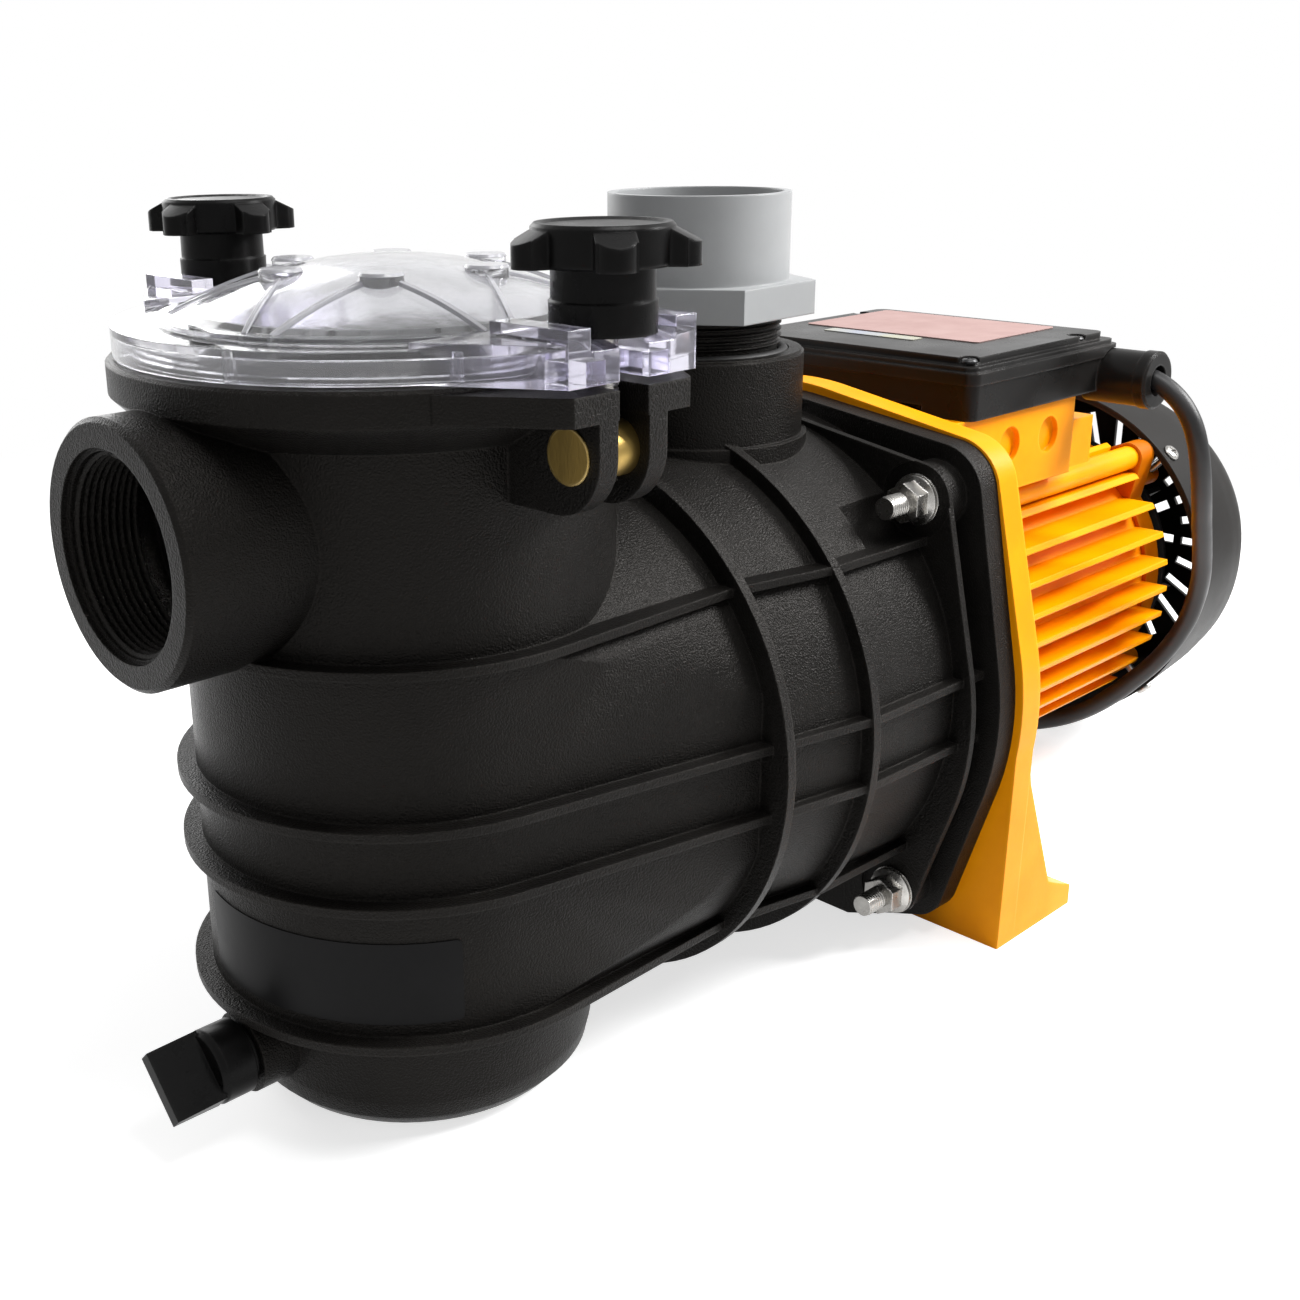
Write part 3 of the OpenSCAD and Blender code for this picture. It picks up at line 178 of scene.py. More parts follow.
def blank(name):
    """A new material, with its node tree and its main shader."""
    material = bpy.data.materials.new(name)
    material.use_nodes = True
    return material, material.node_tree, material.node_tree.nodes["Principled BSDF"]


# The noise values between which one colour, or one gloss, gives way to the
# other, and the lean of an edge, as a cosine, at which wear starts and is full.
COLOUR_TURN, GLOSS_TURN, WEAR_LEAN, WEAR_WIDTH = (0.32, 0.68), (0.3, 0.7), (0.985, 0.80), 2.2


def finish(name, colour, second, roughness, spread=0.08, mottle=30.0, grain=1400.0, relief=0.12,
           depth=0.0002, rounding=0.0006, worn=None, wear=0.5, metallic=0.0, shine=0.5,
           stretch=(1, 1, 1)):
    """A material with two mottled colours, a fine grain, uneven gloss and soft or worn edges."""
    material, tree, shader = blank(name)
    join = tree.links.new
    shader.inputs["Metallic"].default_value = metallic
    shader.inputs["Specular IOR Level"].default_value = shine
    place = node(tree, "TexCoord")
    along = node(tree, "Mapping", Scale=stretch)
    join(place.outputs["Object"], along.inputs["Vector"])
    patches = node(tree, "TexNoise", Scale=mottle, Detail=5.0, Roughness=0.6)
    join(along.outputs["Vector"], patches.inputs["Vector"])
    fine = node(tree, "TexNoise", Scale=grain, Detail=2.0, Roughness=0.55)
    join(along.outputs["Vector"], fine.inputs["Vector"])
    share = rescaled(tree, patches.outputs["Fac"], COLOUR_TURN)
    body_colour = blended(tree, share, colour, second)
    if worn:
        # An edge is where the rounded surface leans away from the flat one.
        flat = node(tree, "NewGeometry")
        edge = node(tree, "Bevel", samples=4, Radius=rounding * WEAR_WIDTH)
        turn = node(tree, "VectorMath", operation="DOT_PRODUCT")
        join(edge.outputs["Normal"], turn.inputs[0])
        join(flat.outputs["Normal"], turn.inputs[1])
        patchy = node(tree, "Math", operation="MULTIPLY")
        join(rescaled(tree, turn.outputs["Value"], WEAR_LEAN, (0.0, wear)), patchy.inputs[0])
        join(share, patchy.inputs[1])
        body_colour = blended(tree, patchy.outputs["Value"], body_colour, worn)
    join(body_colour, shader.inputs["Base Color"])
    gloss = (max(roughness - spread, 0.02), roughness + spread)
    join(rescaled(tree, patches.outputs["Fac"], GLOSS_TURN, gloss), shader.inputs["Roughness"])
    soft = node(tree, "Bevel", samples=4, Radius=rounding)
    bump = node(tree, "Bump", Strength=relief, Distance=depth)
    join(fine.outputs["Fac"], bump.inputs["Height"])
    join(soft.outputs["Normal"], bump.inputs["Normal"])
    join(bump.outputs["Normal"], shader.inputs["Normal"])
    return material


def cover(material, *names):
    """Gives each of the named CAD nodes this material alone."""
    for name in names:
        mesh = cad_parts[name].data
        mesh.materials.clear()
        mesh.materials.append(material)


sheath_rubber = finish("sheath_rubber", colour=(0.008, 0.008, 0.0085),
                       second=(0.016, 0.0155, 0.016), roughness=0.42, spread=0.1, mottle=60.0,
                       grain=2200.0, relief=0.2, rounding=0.0003, shine=0.3)
cable_curve.materials.append(sheath_rubber)
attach(mains_cable_sheath, "pump")
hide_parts("mains_cable", "cable_coil")

# ---- Cable fittings -------------------------------------------------------
# The gland's tapered rubber sleeve, the moulded plug with two plated pins,
# and the nylon tie round the coil. The rubber also makes the pump's seals.

black_rubber = finish("black_rubber", colour=(0.010, 0.010, 0.010), second=(0.018, 0.0175, 0.0175),
                      roughness=0.6, mottle=80.0, grain=1800.0, relief=0.25, shine=0.3)
nylon = finish("nylon", colour=(0.80, 0.80, 0.78), second=(0.70, 0.70, 0.67), roughness=0.35,
               mottle=90.0, grain=900.0, relief=0.08, rounding=0.0003)
plated = finish("plated", colour=(0.62, 0.60, 0.56), second=(0.48, 0.46, 0.42), roughness=0.22,
                mottle=120.0, relief=0.05, rounding=0.0004, metallic=1.0)
cover(sheath_rubber, "mains_plug")
cover(plated, "plug_pins")
cover(nylon, "cable_tie")
cover(black_rubber, "gland_sleeve", "lid_gasket", "drain_seal", "outlet_seal", "casing_seal")

# ---- Pump body ------------------------------------------------------------
# One black moulding of glass-filled plastic: the strainer pot with its cup and
# ports, the ribbed volute, and the flange that the motor bolts to. Its skin is
# finely grained and rubbed a little lighter on the ribs.

# Faces that meet at less than this angle, in degrees, are shaded as one curve.
SMOOTH_BELOW = 35.0

# Where the pot's round wall runs out into the flank, with a step that is
# closed so that the flank starts in one line.
FLANK_X, FLANK_Y, FLANK_STEP = -0.008, 0.069, 0.0004


def refined(name, source, body, material):
    """A copy of a CAD node with its points merged and its curved faces shaded smooth."""
    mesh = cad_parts[source].data.copy()
    mesh.name = name
    work = bmesh.new()
    work.from_mesh(mesh)
    bmesh.ops.remove_doubles(work, verts=work.verts, dist=2e-6)
    work.to_mesh(mesh)
    work.free()
    if "custom_normal" in mesh.attributes:
        mesh.attributes.remove(mesh.attributes["custom_normal"])
    for face in mesh.polygons:
        face.use_smooth = True
    mesh.set_sharp_from_angle(angle=math.radians(SMOOTH_BELOW))
    mesh.materials.clear()
    mesh.materials.append(material)
    piece = added(name, mesh)
    even = piece.modifiers.new("even_shading", "WEIGHTED_NORMAL")
    even.keep_sharp = True
    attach(piece, body)
    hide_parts(source)
    return piece


casing_plastic = finish("casing_plastic", colour=(0.0034, 0.0031, 0.0028),
                        second=(0.0070, 0.0064, 0.0058), roughness=0.34, spread=0.06, mottle=26.0,
                        grain=1500.0, relief=1.0, depth=0.0005, rounding=0.0008,
                        worn=(0.034, 0.031, 0.028), shine=0.1)
casing_shader = casing_plastic.node_tree.nodes["Principled BSDF"]
casing_shader.inputs["Specular Tint"].default_value = (1.0, 0.94, 0.88, 1)
pump_moulding = refined("pump_moulding", "pump_body", "pump", casing_plastic)
flow = bmesh.new()
flow.from_mesh(pump_moulding.data)
flank_start = [v for v in flow.verts
               if abs(v.co.x - FLANK_X) < 0.0001 and abs(v.co.y) > FLANK_Y]
bmesh.ops.remove_doubles(flow, verts=flank_start, dist=FLANK_STEP)
flow.to_mesh(pump_moulding.data)
flow.free()
pump_moulding.data.set_sharp_from_angle(angle=math.radians(SMOOTH_BELOW))

# ---- Inlet thread ---------------------------------------------------------
# The pipe thread moulded into the inlet's mouth, which takes a 2 inch
# threaded union.

INLET_FACE, INLET_Z, INLET_R = -0.0996, 0.1988, 0.0299
INLET_ROOT, INLET_CREST = INLET_R - 0.0001, INLET_R - 0.0014
INLET_LEAD_IN, INLET_TURNS, INLET_PITCH = 0.0016, 9, 0.00231


def ridge(name, body, material, profile, centre, axis, turns, pitch, steps):
    """A thread's ridge: a profile of (out, along) points wound round an axis."""
    work = bmesh.new()
    axis = Vector(axis)
    out = Vector((0, 0, 1)) if abs(axis.z) < 0.5 else Vector((0, 1, 0))
    centre = Vector(centre)
    ring = [work.verts.new(centre + out * r + axis * h) for r, h in profile]
    edges = [work.edges.new((ring[i], ring[(i + 1) % len(ring)])) for i in range(len(ring))]
    bmesh.ops.spin(work, geom=ring + edges, cent=centre, axis=axis, dvec=axis * (pitch / steps),
                   angle=2 * math.pi * turns, steps=int(steps * turns), use_duplicate=False)
    bmesh.ops.holes_fill(work, edges=[e for e in work.edges if e.is_boundary], sides=0)
    bmesh.ops.recalc_face_normals(work, faces=work.faces)
    return placed(name, work, body, material)


def placed(name, work, body, material, smooth=SMOOTH_BELOW):
    """Makes a piece of a finished bmesh, which rides on the body."""
    mesh = bpy.data.meshes.new(name)
    work.to_mesh(mesh)
    work.free()
    for face in mesh.polygons:
        face.use_smooth = True
    mesh.set_sharp_from_angle(angle=math.radians(smooth))
    mesh.materials.append(material)
    piece = added(name, mesh)
    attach(piece, body)
    return piece


inlet_profile = [(INLET_ROOT, 0), (INLET_CREST, 0.0009), (INLET_CREST, 0.0012),
                 (INLET_ROOT, 0.0021)]
inlet_thread = ridge("inlet_thread", "pump", casing_plastic, inlet_profile,
                     centre=(INLET_FACE + INLET_LEAD_IN, 0, INLET_Z), axis=(1, 0, 0),
                     turns=INLET_TURNS, pitch=INLET_PITCH, steps=48)

# ---- Pot label ------------------------------------------------------------
# A thin dark label, left bare, stuck round the lower part of the strainer
# pot on the inlet side.

LABEL_R, LABEL_LOW, LABEL_HIGH = 0.07005, 0.049, 0.077
LABEL_FROM, LABEL_TO = 165.0, 244.0
LABEL_ROWS, LABEL_COLUMNS, LABEL_CORNER, LABEL_THICK = 8, 28, 0.002, 0.00022
work = bmesh.new()
start = Matrix.Rotation(math.radians(LABEL_FROM), 4, "Z") @ Vector((LABEL_R, 0, 0))
heights = [LABEL_LOW + (LABEL_HIGH - LABEL_LOW) * k / LABEL_ROWS for k in range(LABEL_ROWS + 1)]
rungs = [work.verts.new(start + Vector((0, 0, height))) for height in heights]
rails = [work.edges.new((rungs[k], rungs[k + 1])) for k in range(LABEL_ROWS)]
bmesh.ops.spin(work, geom=rungs + rails, cent=(0, 0, 0), axis=(0, 0, 1), dvec=(0, 0, 0),
               angle=math.radians(LABEL_TO - LABEL_FROM), steps=LABEL_COLUMNS, use_duplicate=False)
corners = [v for v in work.verts if len(v.link_faces) == 1]
bmesh.ops.bevel(work, geom=corners, offset=LABEL_CORNER, segments=4, profile=0.5,
                affect="VERTICES", material=-1)
bmesh.ops.recalc_face_normals(work, faces=work.faces)
if sum(f.normal.dot(f.calc_center_median() * Vector((1, 1, 0))) for f in work.faces) < 0:
    bmesh.ops.reverse_faces(work, faces=work.faces)
bmesh.ops.solidify(work, geom=work.faces[:], thickness=-LABEL_THICK)
bmesh.ops.recalc_face_normals(work, faces=work.faces)
label_film = finish("label_film", colour=(0.0045, 0.0043, 0.0046), second=(0.0080, 0.0078, 0.0082),
                    roughness=0.34, spread=0.06, mottle=45.0, grain=600.0, relief=0.05,
                    rounding=0.0001, shine=0.08)
placed("pot_label", work, "pump", label_film)

# ---- Strainer basket ------------------------------------------------------
# The pale moulded basket that stands in the pot and catches leaves, with
# slots all round and a bridge across its mouth to lift it by.

basket_plastic = finish("basket_plastic", colour=(0.66, 0.67, 0.67), second=(0.56, 0.57, 0.58),
                        roughness=0.4, mottle=40.0, grain=900.0, relief=0.1,
                        worn=(0.66, 0.66, 0.66), wear=0.4)
cover(basket_plastic, "strainer_basket")

# ---- Strainer lid ---------------------------------------------------------
# A clear moulding with the faintest violet tint. It has a domed window with a
# web of ribs, a ring of pockets and two slotted ears for the clamps.

EAR_FROM, EAR_TO = 0.070, 0.096
clear_plastic, tree, shader = blank("clear_plastic")
shader.inputs["IOR"].default_value = 1.46
shader.inputs["Transmission Weight"].default_value = 0.95
where = node(tree, "TexCoord")
cloud = node(tree, "TexNoise", Scale=35.0, Detail=4.0)
tree.links.new(where.outputs["Object"], cloud.inputs["Vector"])
haze = rescaled(tree, cloud.outputs["Fac"], (0.0, 1.0), (0.03, 0.12))
tree.links.new(haze, shader.inputs["Roughness"])
ripple = node(tree, "TexNoise", Scale=220.0, Detail=2.0)
tree.links.new(where.outputs["Object"], ripple.inputs["Vector"])
edge = node(tree, "Bevel", samples=4, Radius=0.0006)
wave = node(tree, "Bump", Strength=0.1, Distance=0.0003)
tree.links.new(ripple.outputs["Fac"], wave.inputs["Height"])
tree.links.new(edge.outputs["Normal"], wave.inputs["Normal"])
tree.links.new(wave.outputs["Normal"], shader.inputs["Normal"])
apart = node(tree, "SeparateXYZ")
tree.links.new(where.outputs["Object"], apart.inputs["Vector"])
outward = node(tree, "Math", operation="ABSOLUTE")
tree.links.new(apart.outputs["Y"], outward.inputs[0])
at_ear = rescaled(tree, outward.outputs["Value"], (EAR_FROM, EAR_TO))
tint = blended(tree, at_ear, (0.91, 0.91, 0.93), (0.84, 0.81, 0.97))
tree.links.new(tint, shader.inputs["Base Color"])
cover(clear_plastic, "strainer_lid")

# The web on the dome: two ribs run down it from each of its six pads.
DOME_R, DOME_CENTRE_Z = 0.14086, 0.13414
FIRST_PAD, PADS, PAD_OUT, PAD_Z = 50, 6, 0.035, 0.2723
PAD_R, PAD_TOP_R, PAD_THICK = 0.0068, 0.0061, 0.001
RIB_FROM, RIB_TO, RIB_WIDE, RIB_TALL = 0.0385, 0.0665, 0.0014, 0.0018
RIB_LEAN_FROM, RIB_LEAN_TO = 8, 26


def round_dome(degrees, out):
    """The place at this angle round the lid and this far out from its middle."""
    return Matrix.Rotation(math.radians(degrees), 3, "Z") @ Vector((out, 0, 0))


web = bmesh.new()
for pad in range(PADS):
    pad_angle = FIRST_PAD + 360 / PADS * pad
    for side in (-1, 1):
        start = round_dome(pad_angle + side * RIB_LEAN_FROM, RIB_FROM)
        end = round_dome(pad_angle + side * RIB_LEAN_TO, RIB_TO)
        run = end - start
        rib = bmesh.new()
        bmesh.ops.create_cube(rib, size=1.0)
        lengthwise = [e for e in rib.edges if abs(e.verts[0].co.x - e.verts[1].co.x) > 0.5]
        bmesh.ops.subdivide_edges(rib, edges=lengthwise, cuts=10, use_grid_fill=True)
        bmesh.ops.scale(rib, verts=rib.verts, vec=(run.length, RIB_WIDE, RIB_TALL))
        bmesh.ops.rotate(rib, verts=rib.verts, cent=(0, 0, 0),
                         matrix=Matrix.Rotation(math.atan2(run.y, run.x), 3, "Z"))
        bmesh.ops.translate(rib, verts=rib.verts, vec=(start + end) / 2)
        for v in rib.verts:
            v.co.z += DOME_CENTRE_Z + math.sqrt(DOME_R ** 2 - v.co.x ** 2 - v.co.y ** 2)
        rib_mesh = bpy.data.meshes.new("one_rib")
        rib.to_mesh(rib_mesh)
        rib.free()
        web.from_mesh(rib_mesh)
    turned = Matrix.Rotation(math.radians(pad_angle), 4, "Z")
    bmesh.ops.create_cone(web, cap_ends=True, segments=40, radius1=PAD_R, radius2=PAD_TOP_R,
                          depth=PAD_THICK,
                          matrix=turned @ Matrix.Translation((PAD_OUT, 0, PAD_Z)))
bmesh.ops.recalc_face_normals(web, faces=web.faces)
# The ribs and pads are the lid's clear plastic, greyed and made less clear: painted shade standing
# for the dark lines that the clear ribs draw on the dome.
web_plastic_painted_shade = finish("web_plastic_painted_shade", colour=(0.62, 0.62, 0.655), second=(0.72, 0.72, 0.75),
                         roughness=0.16, spread=0.06, mottle=80.0, grain=900.0, relief=0.1,
                         rounding=0.0003)
web_shade_shader = web_plastic_painted_shade.node_tree.nodes["Principled BSDF"]
web_shade_shader.inputs["Transmission Weight"].default_value = 0.62
dome_ribs = placed("dome_ribs", web, "pump", web_plastic_painted_shade)

# Eight short walls stand in the groove under the lid's ring.
FIRST_POST, POSTS, POST_OUT, POST_Z = 21, 8, 0.0805, 0.2527
POST_SIZE = (0.0032, 0.0022, 0.0078, 1)
web = bmesh.new()
for post in range(POSTS):
    turned = Matrix.Rotation(math.radians(FIRST_POST + 360 / POSTS * post), 4, "Z")
    bmesh.ops.create_cube(web, size=1.0, matrix=turned
                          @ Matrix.Translation((POST_OUT, 0, POST_Z)) @ Matrix.Diagonal(POST_SIZE))
bmesh.ops.recalc_face_normals(web, faces=web.faces)
lid_web = placed("lid_web", web, "pump", clear_plastic)

# ---- Swing clamps ---------------------------------------------------------
# On each side a stainless bolt swings on a turned brass barrel. A black hand
# knob with a brass insert runs on the bolt and presses the lid's ear down.

THREAD_ROOT, THREAD_HALF, THREAD_PITCH, THREAD_STEPS = 0.0039, 0.0004, 0.00125, 20
SWING_Y, SWING_THREAD_Z, SWING_CREST, SWING_TURNS = 0.0934, 0.2385, 0.00425, 16


def thread_profile(crest):
    """One turn of a metric thread: root, crest and root again."""
    return [(THREAD_ROOT, 0), (crest, THREAD_HALF), (THREAD_ROOT, 2 * THREAD_HALF)]


knob_plastic = finish("knob_plastic", colour=(0.0024, 0.0023, 0.0023),
                      second=(0.0048, 0.0046, 0.0046), roughness=0.32, mottle=48.0, grain=1100.0,
                      relief=0.2, rounding=0.0009, worn=(0.034, 0.033, 0.033), wear=0.7, shine=0.08)
brass = finish("brass", colour=(0.40, 0.275, 0.085), second=(0.27, 0.18, 0.05), roughness=0.34,
               spread=0.1, mottle=150.0, grain=2400.0, relief=0.2, rounding=0.0008,
               worn=(0.72, 0.55, 0.26), wear=0.9, metallic=1.0, stretch=(1, 1, 0.25))
stainless = finish("stainless", colour=(0.42, 0.41, 0.39), second=(0.29, 0.28, 0.265),
                   roughness=0.27, mottle=160.0, grain=2600.0, relief=0.1, rounding=0.0005,
                   worn=(0.62, 0.61, 0.59), wear=0.6, metallic=1.0)
for side, out in (("near", -1), ("far", 1)):
    hand_knob = refined(side + "_hand_knob", side + "_knob", side + "_knob", knob_plastic)
    cover(brass, side + "_clamp_barrel", side + "_knob_insert")
    cover(stainless, side + "_swing_bolt", side + "_knob_washer")
    bolt_thread = ridge(side + "_bolt_thread", side + "_clamp", stainless,
                        thread_profile(SWING_CREST), centre=(0, out * SWING_Y, SWING_THREAD_Z),
                        axis=(0, 0, 1), turns=SWING_TURNS, pitch=THREAD_PITCH, steps=THREAD_STEPS)

# ---- Drain plug -----------------------------------------------------------
# A black plug with a wing to turn it by. It screws into the foot of the cup
# against a rubber washer.

wing_plug = refined("wing_plug", "drain_plug", "drain_plug", knob_plastic)

# ---- Discharge adaptor ----------------------------------------------------
# A grey pipe socket with a hexagon. Its black threaded nipple screws into the
# outlet port on a rubber ring.

pipe_plastic = finish("pipe_plastic", colour=(0.300, 0.306, 0.310), second=(0.265, 0.271, 0.275),
                      roughness=0.38, spread=0.06, mottle=22.0, grain=1000.0, relief=0.08,
                      rounding=0.0008, worn=(0.28, 0.285, 0.29), shine=0.4)
cover(casing_plastic, "outlet_nipple")
pipe_socket = refined("pipe_socket", "outlet_adaptor", "pump", pipe_plastic)

# ---- Wet end --------------------------------------------------------------
# Inside the casing: the diffuser, the cream impeller on the shaft, the seal
# plate, and the carbon and ceramic faces of the shaft seal.

impeller_plastic = finish("impeller_plastic", colour=(0.62, 0.56, 0.42), second=(0.54, 0.48, 0.35),
                          roughness=0.45, mottle=40.0, grain=900.0)
ceramic = finish("ceramic", colour=(0.80, 0.78, 0.72), second=(0.72, 0.70, 0.64), roughness=0.2,
                 mottle=60.0, grain=1200.0, relief=0.03)
carbon = finish("carbon", colour=(0.045, 0.045, 0.05), second=(0.075, 0.075, 0.08), roughness=0.4,
                mottle=70.0, grain=2000.0, relief=0.15)
cover(casing_plastic, "diffuser", "seal_plate")
cover(impeller_plastic, "impeller")
cover(ceramic, "seal_seat")
cover(carbon, "rotary_seal")

# ---- Flange fastenings ----------------------------------------------------
# Four stainless studs with flanged nuts and washers pull the casing's flange
# on to the motor bracket. Their threads show in front of the nuts.

STUD_Y, STUD_HIGH, STUD_LOW, STUD_CREST, STUD_LEAD_IN = 0.0776, 0.1796, 0.022, 0.0043, 0.0006
cover(stainless, "flange_studs", "flange_nuts", "flange_washers")
stud_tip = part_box("flange_studs")[0].x
nut_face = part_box("flange_nuts")[0].x
stud_turns = int((nut_face - stud_tip - 2 * STUD_LEAD_IN) / THREAD_PITCH)
stud_places = [(-STUD_Y, STUD_HIGH), (STUD_Y, STUD_HIGH), (-STUD_Y, STUD_LOW), (STUD_Y, STUD_LOW)]
for number, (across, up) in enumerate(stud_places, 1):
    stud_thread = ridge(f"stud_thread_{number}", "pump", stainless, thread_profile(STUD_CREST),
                        centre=(stud_tip + STUD_LEAD_IN, across, up), axis=(1, 0, 0),
                        turns=stud_turns, pitch=THREAD_PITCH, steps=THREAD_STEPS)

# ---- Motor bracket --------------------------------------------------------
# The cast aluminium end bracket with its foot. It is painted a glossy amber
# with the slight ripple of a thick coat.

amber = finish("amber", colour=(0.90, 0.325, 0.0), second=(0.80, 0.265, 0.0), roughness=0.36,
               spread=0.07, mottle=24.0, grain=420.0, relief=0.16, depth=0.0003, rounding=0.0009,
               worn=(1.0, 0.50, 0.02), wear=0.6, shine=0.1)
bracket_casting = refined("bracket_casting", "motor_bracket", "pump", amber)

# ---- Motor frame ----------------------------------------------------------
# The finned aluminium frame in the same amber paint, with the bosses of four
# long bolts and the block that carries the terminal box.

finned_frame = refined("finned_frame", "motor_frame", "pump", amber)

# ---- Motor internals ------------------------------------------------------
# The stack of electrical steel and its varnished copper windings, the cast
# rotor on a ground shaft, and the two ball bearings.

bearing_steel = finish("bearing_steel", colour=(0.60, 0.60, 0.60), second=(0.50, 0.50, 0.50),
                       roughness=0.2, mottle=140.0, relief=0.06, metallic=1.0)
lamination = finish("lamination", colour=(0.26, 0.26, 0.27), second=(0.17, 0.17, 0.18),
                    roughness=0.42, mottle=90.0, grain=1600.0, relief=0.4, metallic=1.0,
                    stretch=(6, 1, 1))
copper = finish("copper", colour=(0.58, 0.24, 0.09), second=(0.42, 0.15, 0.05), roughness=0.3,
                mottle=120.0, grain=1500.0, relief=0.35, metallic=0.8)
cast_rotor = finish("cast_rotor", colour=(0.48, 0.48, 0.50), second=(0.36, 0.36, 0.38),
                    roughness=0.45, mottle=80.0, grain=1300.0, relief=0.3, metallic=1.0)
ground_steel = finish("ground_steel", colour=(0.56, 0.56, 0.56), second=(0.46, 0.46, 0.46),
                      roughness=0.22, mottle=150.0, grain=2400.0, relief=0.1, metallic=1.0,
                      stretch=(0.2, 1, 1))
cover(lamination, "stator_core")
cover(copper, "stator_windings")
cover(cast_rotor, "rotor_core")
cover(ground_steel, "motor_shaft")
cover(bearing_steel, "front_bearing_outer", "front_bearing_inner", "rear_bearing_outer",
      "rear_bearing_inner")

# ---- Rear shield ----------------------------------------------------------
# The cast shield that closes the motor's fan end, held by four long stainless bolts. It
# is painted in a darkened amber: painted shade for the shadow that the fan end lies in.

amber_painted_shade = finish("amber_painted_shade", colour=(0.50, 0.130, 0.0), second=(0.42, 0.100, 0.0),
                    roughness=0.40, mottle=26.0, grain=520.0, relief=0.2, depth=0.0003,
                    rounding=0.0009, worn=(0.75, 0.27, 0.01), shine=0.1)
shield_casting = refined("shield_casting", "rear_shield", "pump", amber_painted_shade)
cover(stainless, "through_bolts")

# ---- Fan and fan cover ----------------------------------------------------
# A black plastic fan on the shaft's rear end, under a black painted cover
# with slots in its end. Four pan-headed screws hold the cover.

SHAFT_Z, COVER_SCREW_X, COVER_SCREW_OUT = 0.097, 0.4125, 0.0836
SHANK_LET_IN, SCREW_SMOOTH_BELOW = 0.0002, 28.0
fan_plastic = finish("fan_plastic", colour=(0.016, 0.016, 0.016), second=(0.025, 0.025, 0.025),
                     roughness=0.5, mottle=40.0, grain=1100.0, relief=0.2, shine=0.3)
cover_paint = finish("cover_paint", colour=(0.0062, 0.0054, 0.0048),
                     second=(0.0090, 0.0079, 0.0070), roughness=0.47, spread=0.06, mottle=20.0,
                     grain=1500.0, relief=0.22, rounding=0.0009, worn=(0.07, 0.067, 0.064),
                     shine=0.1)
cover(fan_plastic, "cooling_fan")
fan_hood = refined("fan_hood", "fan_cover", "pump", cover_paint)


def pan_screw(radius, height):
    """A domed screw head with a cross recess, standing on z = 0."""
    rim = [(0, 0), (radius, 0), (radius, height * 0.4), (radius * 0.82, height * 0.82),
           (radius * 0.45, height * 0.98), (0, height)]
    work = bmesh.new()
    points = [work.verts.new((x, 0, z)) for x, z in rim]
    lines = [work.edges.new((points[k], points[k + 1])) for k in range(len(points) - 1)]
    bmesh.ops.spin(work, geom=points + lines, cent=(0, 0, 0), axis=(0, 0, 1), dvec=(0, 0, 0),
                   angle=2 * math.pi, steps=28, use_merge=True, use_duplicate=False)
    bmesh.ops.remove_doubles(work, verts=work.verts, dist=1e-6)
    bmesh.ops.recalc_face_normals(work, faces=work.faces)
    head_mesh = bpy.data.meshes.new("screw_head")
    work.to_mesh(head_mesh)
    work.free()
    head = added("screw_head", head_mesh)
    tools = []
    blade_long, blade_thick = radius * 1.15, radius * 0.26
    for size in ((blade_long, blade_thick), (blade_thick, blade_long)):
        work = bmesh.new()
        bmesh.ops.create_cube(work, size=1.0)
        bmesh.ops.scale(work, verts=work.verts, vec=(*size, height))
        bmesh.ops.translate(work, verts=work.verts, vec=(0, 0, height))
        mesh = bpy.data.meshes.new("recess_tool")
        work.to_mesh(mesh)
        work.free()
        tool = added("recess_tool", mesh)
        cut = head.modifiers.new("recess", "BOOLEAN")
        cut.operation = "DIFFERENCE"
        cut.solver = "EXACT"
        cut.object = tool
        tools.append(tool)
    evaluated = head.evaluated_get(bpy.context.evaluated_depsgraph_get())
    cut_mesh = bpy.data.meshes.new_from_object(evaluated)
    for spare in [head, *tools]:
        bpy.data.objects.remove(spare)
    return cut_mesh


def screws(name, head_mesh, shank_r, shank_long, places, body, material):
    """Copies of a screw head, each on a plain shank let into it, at the given places."""
    work = bmesh.new()
    shank = Matrix.Translation((0, 0, SHANK_LET_IN - shank_long / 2))
    for place in places:
        before = set(work.verts)
        work.from_mesh(head_mesh)
        bmesh.ops.create_cone(work, cap_ends=True, segments=16, radius1=shank_r, radius2=shank_r,
                              depth=shank_long, matrix=shank)
        bmesh.ops.transform(work, matrix=place, verts=[v for v in work.verts if v not in before])
    return placed(name, work, body, material, smooth=SCREW_SMOOTH_BELOW)


cover_places = [
    Matrix.Translation((COVER_SCREW_X, 0, SHAFT_Z))
    @ Matrix.Rotation(math.radians(around - 90), 4, "X")
    @ Matrix.Translation((0, 0, COVER_SCREW_OUT))
    for around in (45, 135, 225, 315)
]
cover_screw_set = screws("cover_screw_set", pan_screw(radius=0.004, height=0.002),
                         shank_r=0.0019, shank_long=0.019, places=cover_places, body="pump",
                         material=stainless)
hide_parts("cover_screws")

# ---- Terminal box ---------------------------------------------------------
# The black plastic box on the motor: a base with the cable gland's boss and
# nut, a stepped lid held by four screws, the terminal strip and the capacitor.

